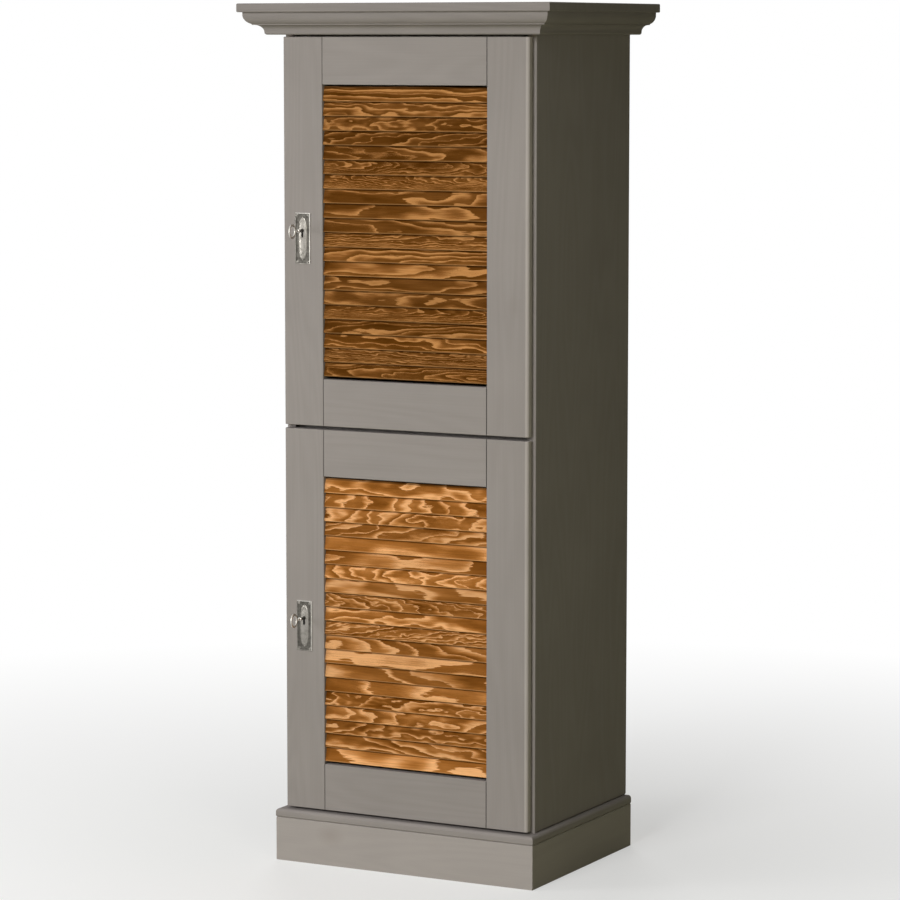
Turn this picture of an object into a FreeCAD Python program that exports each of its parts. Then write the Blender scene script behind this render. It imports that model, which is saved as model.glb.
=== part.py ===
import FreeCAD
import Part
import math
import os

from FreeCAD import Placement, Rotation, Vector

# Tall cupboard with two louvred doors, one above the other, on a plinth and under a moulded crown.
# Millimetres. +X is to the right of someone who faces the doors, +Y goes to the back, +Z is up.
# The origin lies on the floor, under the middle of the crown plate.

# Body
overall_height = 1800.0
body_width = 582.0
body_depth = 438.0
side_thickness = 20.0
panel_thickness = 20.0
panel_setback = 14.0
side_arris = 2.5
side_foot_chamfer = 3.0
side_foot_stop = 10.0
back_thickness = 6.0
back_margin = 2.0
back_rebate = 10.0

# Crown: plate, moulding and the batten frame that carries them
crown_overhang = 69.0
crown_front_step = 13.0
crown_plate_thickness = 18.0
crown_plate_arris = 2.5
moulding_height = 46.0
moulding_reach = 60.0
moulding_land = 5.0
ovolo_radius = 20.0
ovolo_foot = 46.0
cove_radius = 15.0
bead_radius = 5.0
moulding_foot = 22.0
batten_width = 30.0
back_batten_width = 20.0

# Plinth and its round-nosed cap
plinth_height = 92.0
plinth_thickness = 20.0
plinth_overhang = 12.0
plinth_front_step = 22.0
plinth_arris = 1.5
cap_thickness = 18.0
cap_overhang = 12.8
cap_width = 62.0
cap_top_round = 7.0
cap_bottom_round = 4.0
corner_block_size = 30.0
corner_block_height = 80.0

# Doors
door_thickness = 21.0
door_gap = 2.0
door_inset = 6.0
door_top_clearance = 4.0
door_foot_clearance = 5.5
doors_apart = 7.5
stile_width = 94.0
rail_width = 98.0
door_front_round = 7.0
door_back_round = 6.0
frame_arris = 1.0
door_end_arris = 1.5
tenon_thickness = 8.0
tenon_height = 72.0
tenon_length = 26.0
joinery_clearance = 0.1
bumper_radius = 3.5
bumper_play = 0.3
bumper_from_end = 30.0
bumper_from_edge = 10.0

# Louvre slats
slat_least_pitch = 29.0
slat_width = 32.0
slat_thickness = 5.5
slat_tilt = 13.0
slat_round = 2.0
slat_forward = 1.5
slat_housing = 7.0
slat_top_gap = 2.5
slat_bottom_gap = 5.5

# Loose shelves and their pins
shelf_thickness = 18.0
shelf_setback = 35.0
shelf_back_gap = 3.0
shelf_end_gap = 1.0
shelf_pin_radius = 2.5
shelf_pin_depth = 9.0
shelf_pin_reach = 9.0
shelf_pin_inset = 60.0
shelf_hole_steps = 2
shelf_hole_pitch = 64.0

# Concealed hinges
hinge_from_end = 100.0
hinge_axis_inset = 9.5
hinge_axis_depth = 10.0
hinge_pin_radius = 1.5
hinge_pin_play = 0.05
hinge_pin_length = 21.0
cup_radius = 17.5
cup_edge_margin = 3.5
cup_depth = 14.0
cup_wall = 0.8
cup_cheek_gap = 0.5
flange_thickness = 1.0
flange_rim = 2.0
flange_length = 62.0
flange_width = 13.0
flange_offset = 9.5
flange_screw_spacing = 48.0
arm_width = 10.0
arm_thickness = 3.0
arm_eye_radius = 2.9
arm_neck_inset = 31.0
arm_tail_width = 16.0
arm_tail_thickness = 7.0
arm_tail_length = 48.0
arm_shoulder = 8.0
arm_tail_start = 14.0
hinge_plate_thickness = 4.0
hinge_plate_height = 48.0
hinge_plate_depth = 36.0
hinge_plate_setback = 22.0
hinge_plate_screw_spacing = 32.0
hinge_plate_screw_setback = 37.0
arm_screw_setback = 53.0

# Locks, strikes, keys and escutcheons
keyhole_from_edge = 47.0
keyhole_rise = 3.0
keyhole_radius = 3.8
keyhole_slot_width = 4.2
keyhole_slot_depth = 14.0
keyhole_relief = 1.0
escutcheon_width = 36.0
escutcheon_height = 106.0
escutcheon_thickness = 1.2
escutcheon_drop = 16.0
escutcheon_rim_width = 2.2
escutcheon_rim_height = 1.2
boss_width = 20.0
boss_height = 92.0
boss_rise = 1.6
boss_bevel = 1.2
escutcheon_pin_inset = 4.6
escutcheon_pin_radius = 0.8
escutcheon_pin_head = 1.8
escutcheon_pin_dome = 1.0
escutcheon_pin_length = 9.0
key_shank_radius = 3.0
key_collar_radius = 4.2
key_collar_length = 3.0
key_collar_reach = 15.0
key_bow_reach = 40.0
key_bow_height = 31.0
key_bow_depth = 27.0
key_bow_wall = 5.0
key_bow_thickness = 3.6
key_bit_reach = 10.5
key_bit_thickness = 2.4
key_bit_length = 5.0
lock_backset = 24.0
lock_case_width = 45.0
lock_case_above = 27.0
lock_case_below = 20.0
lock_case_depth = 12.0
lock_case_wall = 1.2
lock_lug_length = 11.0
lock_lug_width = 16.0
lock_lug_thickness = 1.5
bolt_length = 40.0
bolt_height = 12.5
bolt_thickness = 5.0
bolt_above_key = 9.5
bolt_play = 0.2
bolt_back_gap = 1.3
bolt_end_play = 1.5
talon_width = 16.0
talon_depth = 3.0
strike_thickness = 1.4
strike_height = 24.0
strike_depth = 26.0
strike_case_gap = 1.2
strike_front_gap = 0.2
strike_screw_spacing = 14.0
strike_screw_setback = 16.0

# Dowels and screws
dowel_radius = 4.0
dowel_in_side = 12.0
dowel_in_panel = 24.0
dowel_end_margin = 48.0
dowels_per_joint = 3
wood_screw_radius = 2.0
wood_screw_head = 4.0
wood_screw_length = 35.0
wood_screw_edge_margin = 6.0
small_screw_radius = 1.5
small_screw_head = 3.0
small_screw_length = 14.0
back_screw_head_height = 1.6
back_screw_length = 18.0
back_screw_end_margin = 60.0
back_screws_per_side = 5

# Places worked out from the sizes above
y_back = (body_depth + crown_front_step + crown_overhang) / 2
y_front = y_back - body_depth
y_back_panel = y_back - back_margin - back_thickness
x_side = body_width / 2
x_inner = x_side - side_thickness
z_body = plinth_height + cap_thickness
z_plate = overall_height - crown_plate_thickness
z_crown = z_plate - moulding_height
z_middle = (z_body + z_crown) / 2
y_door_back = y_front - door_gap
y_door_face = y_door_back - door_thickness
y_door_mid = (y_door_back + y_door_face) / 2
x_door = x_side - door_inset
x_frame = x_door - stile_width
door_height = (z_crown - z_body - door_top_clearance - door_foot_clearance - doors_apart) / 2
door_bottoms = {
    "lower": z_body + door_foot_clearance,
    "upper": z_crown - door_top_clearance - door_height,
}
panel_heights = (z_body, z_middle - panel_thickness / 2, z_crown - panel_thickness)
crown_line = y_front - crown_front_step
plinth_line = y_front - plinth_front_step
hinge_x = x_door - hinge_axis_inset
hinge_y = y_door_back - hinge_axis_depth
key_x = -x_door + keyhole_from_edge
case_left = key_x - lock_backset
bolt_throw = case_left + x_inner - bolt_end_play

RIGHT = Vector(1, 0, 0)
BACK = Vector(0, 1, 0)
UP = Vector(0, 0, 1)
SMALL = 1e-6


def box(x, y, z):
    """Block between the low and high values of each axis."""
    corner = Vector(x[0], y[0], z[0])
    return Part.makeBox(x[1] - x[0], y[1] - y[0], z[1] - z[0], corner)


def span(middle, length):
    return middle - length / 2, middle + length / 2


def rod(start, direction, length, radius):
    return Part.makeCylinder(radius, length, start, direction)


def mirrored(shape):
    """The same shape on the other side of the cupboard's middle plane."""
    return shape.mirror(Vector(0, 0, 0), RIGHT)


def edges_on(shape, **planes):
    """Edges that lie on every named plane, such as x=10 and z=0."""
    chosen = []
    for edge in shape.Edges:
        places = [vertex.Point for vertex in edge.Vertexes]
        if all(abs(getattr(p, axis) - at) < SMALL for p in places for axis, at in planes.items()):
            chosen.append(edge)
    return chosen


def rounded(shape, radius, **planes):
    return shape.makeFillet(radius, edges_on(shape, **planes))


def chamfered(shape, size, **planes):
    return shape.makeChamfer(size, edges_on(shape, **planes))


def without(shape, cutters):
    return shape.cut(Part.makeCompound(cutters))


def polygon_prism(points, direction):
    face = Part.Face(Part.makePolygon(points + points[:1]))
    return face.extrude(direction)


def line(start, end):
    return Part.LineSegment(start, end).toShape()


def arc(start, through, end):
    return Part.Arc(start, through, end).toShape()


def oval(middle, height, width, facing):
    """Upright oval face that looks along facing."""
    outline = Part.Ellipse(Vector(), height / 2, width / 2).toShape()
    outline.Placement = Placement(middle, Rotation(UP, facing.cross(UP), facing, "ZXY"))
    return Part.Face(Part.Wire(outline))


def spun(outline, base, direction):
    """Solid of revolution: (radius, height) points about an axis that starts at base."""
    points = [Vector(radius, 0, height) for radius, height in outline]
    solid = Part.Face(Part.makePolygon(points + points[:1])).revolve(Vector(), UP, 360)
    solid.Placement = Placement(base, Rotation(UP, direction))
    return solid


def countersunk_screw(head, direction, length, radius, head_radius):
    """Flat-headed screw whose head face lies at head and whose point goes along direction."""
    cone = head_radius - radius
    outline = [(0, 0), (head_radius, 0), (radius, cone), (radius, length), (0, length)]
    return spun(outline, head, direction)


def wood_screw(head, direction):
    return countersunk_screw(head, direction, wood_screw_length, wood_screw_radius, wood_screw_head)


def small_screw(head, direction):
    return countersunk_screw(head, direction, small_screw_length, small_screw_radius, small_screw_head)


def evenly(low, high, count):
    return [low + (high - low) * i / (count - 1) for i in range(count)]


# Fasteners of the body, which the boards below are drilled for

def make_dowels():
    """Dowels between each side panel and the top, the bottom and the middle shelf."""
    dowels = []
    length = dowel_in_side + dowel_in_panel
    for low in panel_heights:
        for y in evenly(y_front + dowel_end_margin, y_back_panel - dowel_end_margin, dowels_per_joint):
            place = Vector(x_inner - dowel_in_panel, y, low + panel_thickness / 2)
            dowel = rod(place, RIGHT, length, dowel_radius)
            dowels += [dowel, mirrored(dowel)]
    return dowels


def make_body_screws():
    """Screws from inside: down into the plinth cap and up into the crown's batten frame."""
    screws = []
    floor = z_body + panel_thickness
    ceiling = z_crown - panel_thickness
    x_cap = x_inner - wood_screw_edge_margin - wood_screw_head
    x_batten = x_inner - wood_screw_edge_margin
    for y in (y_front + dowel_end_margin * 2, y_back_panel - dowel_end_margin * 2):
        down = wood_screw(Vector(x_cap, y, floor), -UP)
        up = wood_screw(Vector(x_batten, y, ceiling), UP)
        screws += [down, mirrored(down), up, mirrored(up)]
    return screws


def make_back_screws():
    """Pan-headed screws round the back panel and across the fixed middle shelf."""
    head_face = y_back_panel + back_thickness
    places = []
    x_rebate = x_inner + back_rebate / 2
    low = z_body + back_screw_end_margin
    high = z_crown - back_screw_end_margin
    for z in evenly(low, high, back_screws_per_side):
        places += [(-x_rebate, z), (x_rebate, z)]
    for panel_low in panel_heights:
        z = panel_low + panel_thickness / 2
        places += [(-x_inner / 2, z), (x_inner / 2, z)]
    outline = [
        (0, -back_screw_head_height),
        (small_screw_head, -back_screw_head_height),
        (small_screw_head, 0),
        (small_screw_radius, 0),
        (small_screw_radius, back_screw_length),
        (0, back_screw_length),
    ]
    return [spun(outline, Vector(x, head_face, z), -BACK) for x, z in places]


# Loose shelves

def shelf_heights():
    """Height of the pin line in the middle of each compartment, lower one first."""
    bottom, middle, top = panel_heights
    return {
        "lower": (bottom + panel_thickness + middle) / 2,
        "upper": (middle + panel_thickness + top) / 2,
    }


def shelf_pin_places():
    front = y_front + shelf_setback + shelf_pin_inset
    return front, y_back_panel - shelf_back_gap - shelf_pin_inset


def make_shelf_pins():
    pins = []
    for z in shelf_heights().values():
        for y in shelf_pin_places():
            place = Vector(x_inner - shelf_pin_reach, y, z)
            pin = rod(place, RIGHT, shelf_pin_reach + shelf_pin_depth, shelf_pin_radius)
            pins += [pin, mirrored(pin)]
    return pins


def make_shelf_holes():
    """Blind holes in the right side panel for the other heights of the loose shelves."""
    holes = []
    for middle in shelf_heights().values():
        for y in shelf_pin_places():
            for step in range(-shelf_hole_steps, shelf_hole_steps + 1):
                place = Vector(x_inner, y, middle + step * shelf_hole_pitch)
                holes.append(rod(place, RIGHT, shelf_pin_depth, shelf_pin_radius))
    return holes


def make_shelf(pin_line):
    low = pin_line + shelf_pin_radius
    x = span(0, 2 * (x_inner - shelf_end_gap))
    y = (y_front + shelf_setback, y_back_panel - shelf_back_gap)
    return box(x, y, (low, low + shelf_thickness))


# Body boards

def make_side():
    """Right side panel: rebated for the back panel, bored for pins and bevelled along its foot."""
    board = box((x_inner, x_side), (y_front, y_back), (z_body, z_crown))
    board = rounded(board, side_arris, x=x_side, y=y_front)
    rebate = box((x_inner, x_inner + back_rebate), (y_back_panel, y_back), (z_body, z_crown))
    corner = Vector(x_side, y_front + side_foot_stop, z_body)
    foot = [corner, corner + UP * side_foot_chamfer, corner - RIGHT * side_foot_chamfer]
    return without(board, [rebate, polygon_prism(foot, BACK * body_depth)] + make_shelf_holes())


def make_panel(low):
    return box((-x_inner, x_inner), (y_front + panel_setback, y_back_panel), (low, low + panel_thickness))


def make_back_panel():
    half = x_inner + back_rebate - joinery_clearance
    return box((-half, half), (y_back_panel, y_back_panel + back_thickness), (z_body, z_crown))


# Mitred runs: profiles that go round the front and both sides

def front_wedge(line_y, inner, outer, low, high):
    """Room of the front run, between the two mitre planes."""
    points = [
        Vector(-x_side - outer, line_y - outer, low),
        Vector(x_side + outer, line_y - outer, low),
        Vector(x_side + inner, line_y - inner, low),
        Vector(-x_side - inner, line_y - inner, low),
    ]
    return polygon_prism(points, UP * (high - low))


def side_wedge(line_y, inner, outer, low, high):
    """Room of the right-hand run, from its mitre plane to the back."""
    points = [
        Vector(x_side + inner, line_y - inner, low),
        Vector(x_side + outer, line_y - outer, low),
        Vector(x_side + outer, y_back, low),
        Vector(x_side + inner, y_back, low),
    ]
    return polygon_prism(points, UP * (high - low))


def mitred_run(profile, line_y, inner, outer, low, high):
    """Front, left and right lengths of one profile; profile(place) draws it with place(out, up)."""
    half = x_side + outer
    front_face = profile(lambda out, up: Vector(-half, line_y - out, low + up))
    side_face = profile(lambda out, up: Vector(x_side + out, y_back, low + up))
    front = front_face.extrude(RIGHT * (2 * half))
    side = side_face.extrude(-BACK * (y_back - line_y + outer))
    front = front.common(front_wedge(line_y, inner, outer, low, high))
    right = side.common(side_wedge(line_y, inner, outer, low, high))
    return front, mirrored(right), right


def crown_profile(place):
    """Bead at the foot, cove, small step, then an ovolo under the plate."""
    cove_start = moulding_foot + bead_radius
    cove_end = cove_start + cove_radius
    step = bead_radius + cove_radius
    ovolo_middle = moulding_reach - ovolo_radius
    ovolo_level = moulding_height - moulding_land
    start_angle = math.acos((ovolo_foot - ovolo_middle) / ovolo_radius)
    ovolo_start = ovolo_level - ovolo_radius * math.sin(start_angle)
    half_angle = start_angle / 2
    slant = math.sqrt(0.5)
    foot = place(moulding_foot, 0)
    bead_mid = place(moulding_foot + bead_radius * slant, bead_radius * (1 - slant))
    bead_end = place(cove_start, bead_radius)
    cove_mid = place(cove_end - cove_radius * slant, bead_radius + cove_radius * slant)
    cove_top = place(cove_end, step)
    step_out = place(ovolo_foot, step)
    ovolo_foot_point = place(ovolo_foot, ovolo_start)
    ovolo_mid = place(
        ovolo_middle + ovolo_radius * math.cos(half_angle),
        ovolo_level - ovolo_radius * math.sin(half_angle),
    )
    ovolo_end = place(moulding_reach, ovolo_level)
    top_out = place(moulding_reach, moulding_height)
    top_in = place(0, moulding_height)
    bottom_in = place(0, 0)
    edges = [
        line(bottom_in, foot),
        arc(foot, bead_mid, bead_end),
        arc(bead_end, cove_mid, cove_top),
        line(cove_top, step_out),
        line(step_out, ovolo_foot_point),
        arc(ovolo_foot_point, ovolo_mid, ovolo_end),
        line(ovolo_end, top_out),
        line(top_out, top_in),
        line(top_in, bottom_in),
    ]
    return Part.Face(Part.Wire(edges))


def cap_profile(place):
    """Flat strip with a round nose."""
    slant = math.sqrt(0.5)
    inner = cap_overhang - cap_width
    low_x = cap_overhang - cap_bottom_round
    top_x = cap_overhang - cap_top_round
    top_z = cap_thickness - cap_top_round
    low_mid = place(low_x + cap_bottom_round * slant, cap_bottom_round * (1 - slant))
    top_mid = place(top_x + cap_top_round * slant, top_z + cap_top_round * slant)
    edges = [
        line(place(inner, 0), place(low_x, 0)),
        arc(place(low_x, 0), low_mid, place(cap_overhang, cap_bottom_round)),
        line(place(cap_overhang, cap_bottom_round), place(cap_overhang, top_z)),
        arc(place(cap_overhang, top_z), top_mid, place(top_x, cap_thickness)),
        line(place(top_x, cap_thickness), place(inner, cap_thickness)),
        line(place(inner, cap_thickness), place(inner, 0)),
    ]
    return Part.Face(Part.Wire(edges))


def plinth_profile(place):
    """Upright board with its outer top arris bevelled."""
    inner = plinth_overhang - plinth_thickness
    points = [
        place(inner, 0),
        place(plinth_overhang, 0),
        place(plinth_overhang, plinth_height - plinth_arris),
        place(plinth_overhang - plinth_arris, plinth_height),
        place(inner, plinth_height),
    ]
    return Part.Face(Part.makePolygon(points + points[:1]))


def make_crown_plate():
    half = x_side + crown_overhang
    front = crown_line - crown_overhang
    plate = box((-half, half), (front, y_back), (z_plate, overall_height))
    edges = []
    for z in (z_plate, overall_height):
        edges += edges_on(plate, y=front, z=z)
        edges += edges_on(plate, x=half, z=z) + edges_on(plate, x=-half, z=z)
    return plate.makeFillet(crown_plate_arris, edges)


def make_crown_frame():
    """Front, back and side battens, butted together under the plate."""
    z = (z_crown, z_plate)
    front_back = crown_line + batten_width
    back_front = y_back - back_batten_width
    right = box((x_side - batten_width, x_side), (front_back, back_front), z)
    front = box((-x_side, x_side), (crown_line, front_back), z)
    back = box((-x_side, x_side), (back_front, y_back), z)
    return [front, back, mirrored(right), right]


def make_plinth_back():
    half = x_side + plinth_overhang - plinth_thickness
    return box((-half, half), (y_back - plinth_thickness, y_back), (0, plinth_height))


def make_corner_blocks():
    half = x_side + plinth_overhang - plinth_thickness
    front = plinth_line - plinth_overhang + plinth_thickness
    back = y_back - plinth_thickness
    x = (half - corner_block_size, half)
    z = (plinth_height - corner_block_height, plinth_height)
    blocks = []
    for y in ((front, front + corner_block_size), (back - corner_block_size, back)):
        block = box(x, y, z)
        blocks += [block, mirrored(block)]
    return blocks


# Louvred doors

def slat_solid(length, play):
    """One slat about its own middle, tilted so that its lower edge comes forward."""
    x = span(0, length)
    y = span(0, slat_thickness + 2 * play)
    z = span(0, slat_width + 2 * play)
    slat = box(x, y, z)
    edges = [e for e in slat.Edges if e.BoundBox.XLength > length / 2]
    slat = slat.makeFillet(slat_round, edges)
    slat.Placement = Placement(Vector(), Rotation(RIGHT, -slat_tilt))
    return slat


def slat_places(door_bottom):
    """Middle of every slat, from the lowest up."""
    tilt = math.radians(slat_tilt)
    rise = slat_width * math.cos(tilt) + slat_thickness * math.sin(tilt)
    low = door_bottom + rail_width + slat_bottom_gap + rise / 2
    high = door_bottom + door_height - rail_width - slat_top_gap - rise / 2
    count = int((high - low) / slat_least_pitch) + 1
    return [Vector(0, y_door_mid - slat_forward, z) for z in evenly(low, high, count)]


def make_slats(door_bottom):
    slat = slat_solid(2 * (x_frame + slat_housing), 0)
    return [slat.translated(place) for place in slat_places(door_bottom)]


def slat_housings(door_bottom):
    cutter = slat_solid(2 * (x_frame + slat_housing + joinery_clearance), joinery_clearance)
    return [cutter.translated(place) for place in slat_places(door_bottom)]


def rail_lows(door_bottom):
    return {"bottom": door_bottom, "top": door_bottom + door_height - rail_width}


def tenon(rail_low, play):
    """Tenons of one rail, as one bar from end to end."""
    x = span(0, 2 * (x_frame + tenon_length + play))
    y = span(y_door_mid, tenon_thickness + 2 * play)
    z = span(rail_low + rail_width / 2, tenon_height + 2 * play)
    return box(x, y, z)


def make_rail(rail_low, outer):
    """Rail with its front arrises eased and a tenon at each end; outer is its free edge."""
    rail = box((-x_frame, x_frame), (y_door_face, y_door_back), (rail_low, rail_low + rail_width))
    inner = 2 * rail_low + rail_width - outer
    rail = rounded(rail, door_end_arris, y=y_door_face, z=outer)
    rail = chamfered(rail, frame_arris, y=y_door_face, z=inner)
    return rail.fuse(tenon(rail_low, 0)).removeSplitter()


def make_stile(door_bottom):
    """Right-hand stile: rounded outside, mortised for the rails and housed for the slats."""
    top = door_bottom + door_height
    stile = box((x_frame, x_door), (y_door_face, y_door_back), (door_bottom, top))
    stile = rounded(stile, door_front_round, x=x_door, y=y_door_face)
    stile = rounded(stile, door_back_round, x=x_door, y=y_door_back)
    stile = chamfered(stile, frame_arris, x=x_frame, y=y_door_face)
    for z in (door_bottom, top):
        stile = rounded(stile, door_end_arris, y=y_door_face, z=z)
    mortises = [tenon(low, joinery_clearance) for low in rail_lows(door_bottom).values()]
    return without(stile, mortises + slat_housings(door_bottom))


def make_bumpers(door_bottom):
    """Dots on the back of the lock stile that meet the side panel's front edge."""
    x = -x_door + bumper_from_edge
    ends = (door_bottom + bumper_from_end, door_bottom + door_height - bumper_from_end)
    return [rod(Vector(x, y_door_back, z), BACK, door_gap - bumper_play, bumper_radius) for z in ends]


# Concealed hinges

def hinge_heights(door_bottom):
    return door_bottom + hinge_from_end, door_bottom + door_height - hinge_from_end


def cup_middle(z):
    return Vector(x_door - cup_edge_margin - cup_radius, y_door_back, z)


def flange_screw_places(z):
    middle = cup_middle(z)
    x = middle.x - flange_offset
    y = y_door_back + flange_thickness
    return [Vector(x, y, place) for place in span(z, flange_screw_spacing)]


def make_cup(z):
    """Cup in its bore, with cheeks that hold the pin and a screwed flange on the door's back."""
    middle = cup_middle(z)
    cup = rod(middle, -BACK, cup_depth, cup_radius)
    wing_x = span(middle.x - flange_offset, flange_width)
    wing_y = (y_door_back, y_door_back + flange_thickness)
    wing = box(wing_x, wing_y, span(z, flange_length))
    reach = cup_radius + flange_rim
    rim = rod(middle, BACK, flange_thickness, reach)
    rim = rim.common(box((middle.x - reach, hinge_x), wing_y, span(z, 2 * reach)))
    cup = cup.fuse([rim, wing]).removeSplitter()
    inside = cup_radius - cup_wall
    floor = y_door_back - cup_depth + cup_wall
    mouth = y_door_back + flange_thickness
    slot = box(span(middle.x, 2 * inside - cup_wall), (floor, mouth), span(z, arm_width + 2 * cup_cheek_gap))
    bowl = rod(Vector(middle.x, floor, z), BACK, mouth - floor, inside - cup_wall)
    far_side = box((middle.x - cup_radius, middle.x + cup_wall), (floor, mouth), span(z, 2 * cup_radius))
    screws = [small_screw(place, -BACK) for place in flange_screw_places(z)]
    return without(cup, [slot, bowl.common(far_side), make_hinge_pin(z)] + screws)


def cup_bore(z):
    return rod(cup_middle(z), -BACK, cup_depth, cup_radius)


def make_hinge_pin(z):
    start = Vector(hinge_x, hinge_y, z - hinge_pin_length / 2)
    return rod(start, UP, hinge_pin_length, hinge_pin_radius)


def make_arm(z):
    """Gooseneck arm: eye on the pin, neck out of the cup, and a tail along the side panel."""
    half = arm_thickness / 2
    low = z - arm_width / 2
    neck_out = x_door - arm_neck_inset - half
    neck_in = neck_out + arm_thickness
    tail_in = x_inner - hinge_plate_thickness
    tail_out = tail_in - arm_tail_thickness
    tail_y = y_front + arm_tail_start
    shoulder_y = y_front + arm_shoulder
    neck = [
        Vector(hinge_x, hinge_y - half, low),
        Vector(neck_out, hinge_y - half, low),
        Vector(neck_out, shoulder_y, low),
        Vector(tail_out, tail_y + arm_tail_thickness, low),
        Vector(tail_in, tail_y + arm_tail_thickness, low),
        Vector(tail_in, tail_y, low),
        Vector(neck_in, shoulder_y - arm_thickness, low),
        Vector(neck_in, hinge_y + half, low),
        Vector(hinge_x, hinge_y + half, low),
    ]
    arm = polygon_prism(neck, UP * arm_width)
    eye = rod(Vector(hinge_x, hinge_y, low), UP, arm_width, arm_eye_radius)
    tail = box((tail_out, tail_in), (tail_y, tail_y + arm_tail_length), span(z, arm_tail_width))
    arm = arm.fuse([eye, tail]).removeSplitter()
    hole = rod(Vector(hinge_x, hinge_y, low), UP, arm_width, hinge_pin_radius + hinge_pin_play)
    return without(arm, [hole, arm_screw(z)])


def arm_screw(z):
    face = x_inner - hinge_plate_thickness - arm_tail_thickness
    return small_screw(Vector(face, y_front + arm_screw_setback, z), RIGHT)


def plate_screws(z):
    face = x_inner - hinge_plate_thickness
    y = y_front + hinge_plate_screw_setback
    return [small_screw(Vector(face, y, place), RIGHT) for place in span(z, hinge_plate_screw_spacing)]


def make_hinge_plate(z):
    """Mounting plate on the side panel's inner face, under the arm's tail."""
    y = (y_front + hinge_plate_setback, y_front + hinge_plate_setback + hinge_plate_depth)
    plate = box((x_inner - hinge_plate_thickness, x_inner), y, span(z, hinge_plate_height))
    return without(plate, plate_screws(z) + [arm_screw(z)])


# Locks

def keyhole_height(door_bottom):
    return door_bottom + door_height / 2 + keyhole_rise


def keyhole(z, front, back, play):
    """Round hole with a slot below it, right through from front to back."""
    depth = back - front
    hole = rod(Vector(key_x, front, z), BACK, depth, keyhole_radius + play)
    width = keyhole_slot_width + 2 * play
    slot = box(span(key_x, width), (front, back), (z - keyhole_slot_depth - play, z))
    return hole.fuse(slot)


def escutcheon_pin_places(z):
    half_x = escutcheon_width / 2 - escutcheon_pin_inset
    half_z = escutcheon_height / 2 - escutcheon_pin_inset
    y = y_door_face - escutcheon_thickness
    middle = z - escutcheon_drop
    return [Vector(key_x + sx * half_x, y, middle + sz * half_z) for sx in (-1, 1) for sz in (-1, 1)]


def make_escutcheon_pins(z):
    slant = math.sqrt(0.5)
    outline = [
        (0, -escutcheon_pin_dome),
        (escutcheon_pin_head * slant, -escutcheon_pin_dome * slant),
        (escutcheon_pin_head, 0),
        (escutcheon_pin_radius, 0),
        (escutcheon_pin_radius, escutcheon_pin_length),
        (0, escutcheon_pin_length),
    ]
    return [spun(outline, place, BACK) for place in escutcheon_pin_places(z)]


def make_escutcheon(z):
    """Plate with a raised rim and a tall oval boss that carries the keyhole."""
    middle = z - escutcheon_drop
    face = y_door_face - escutcheon_thickness
    front = face - boss_rise
    outer_x = span(key_x, escutcheon_width)
    outer_z = span(middle, escutcheon_height)
    plate = box(outer_x, (face - escutcheon_rim_height, y_door_face), outer_z)
    field_x = span(key_x, escutcheon_width - 2 * escutcheon_rim_width)
    field_z = span(middle, escutcheon_height - 2 * escutcheon_rim_width)
    plate = plate.cut(box(field_x, (face - escutcheon_rim_height, face), field_z))
    boss = oval(Vector(key_x, face, middle), boss_height, boss_width, -BACK).extrude(-BACK * boss_rise)
    boss = chamfered(boss, boss_bevel, y=front)
    plate = plate.fuse(boss).removeSplitter()
    return without(plate, [keyhole(z, front, y_door_face, 0)] + make_escutcheon_pins(z))


def make_key(z):
    """Key in its lock: shank, collar, oval bow in front and the bit behind, pointing down."""
    tip = y_door_back + lock_case_depth - lock_case_wall - bolt_back_gap
    face = y_door_face - escutcheon_thickness - boss_rise
    bow_y = face - key_bow_reach
    shank_start = bow_y + key_bow_depth / 2 - key_bow_wall / 2
    shank = rod(Vector(key_x, shank_start, z), BACK, tip - shank_start, key_shank_radius)
    collar_y = face - key_collar_reach
    collar = rod(Vector(key_x, collar_y, z), BACK, key_collar_length, key_collar_radius)
    bow = key_bow(bow_y, z, 0).cut(key_bow(bow_y, z, key_bow_wall))
    bit_x = span(key_x, key_bit_thickness)
    bit = box(bit_x, (tip - key_bit_length, tip), (z - key_bit_reach, z))
    return shank.fuse([collar, bow, bit]).removeSplitter()


def key_bow(y, z, inset):
    """Oval disc in the upright plane of the key's axis, smaller all round by inset."""
    start = Vector(key_x - key_bow_thickness / 2, y, z)
    face = oval(start, key_bow_height - 2 * inset, key_bow_depth - 2 * inset, RIGHT)
    return face.extrude(RIGHT * key_bow_thickness)


def bolt_room(play):
    """Low and high values of the bolt's depth, from the case's back wall."""
    back = y_door_back + lock_case_depth - lock_case_wall - bolt_back_gap + play
    return back - bolt_thickness - 2 * play, back


def make_bolt(z):
    """Sliding bolt above the key, with the talon that the key's bit drives."""
    low = z + bolt_above_key
    bolt = box((case_left, case_left + bolt_length), bolt_room(0), (low, low + bolt_height))
    talon_x = span(key_x + bolt_throw / 2, talon_width)
    talon = box(talon_x, bolt_room(0), (low, low + talon_depth))
    return bolt.cut(talon)


def lock_screw_places(z):
    x = case_left + lock_case_width / 2
    y = y_door_back + lock_lug_thickness
    above = z + lock_case_above + lock_lug_length / 2
    below = z - lock_case_below - lock_lug_length / 2
    return [Vector(x, y, above), Vector(x, y, below)]


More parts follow.
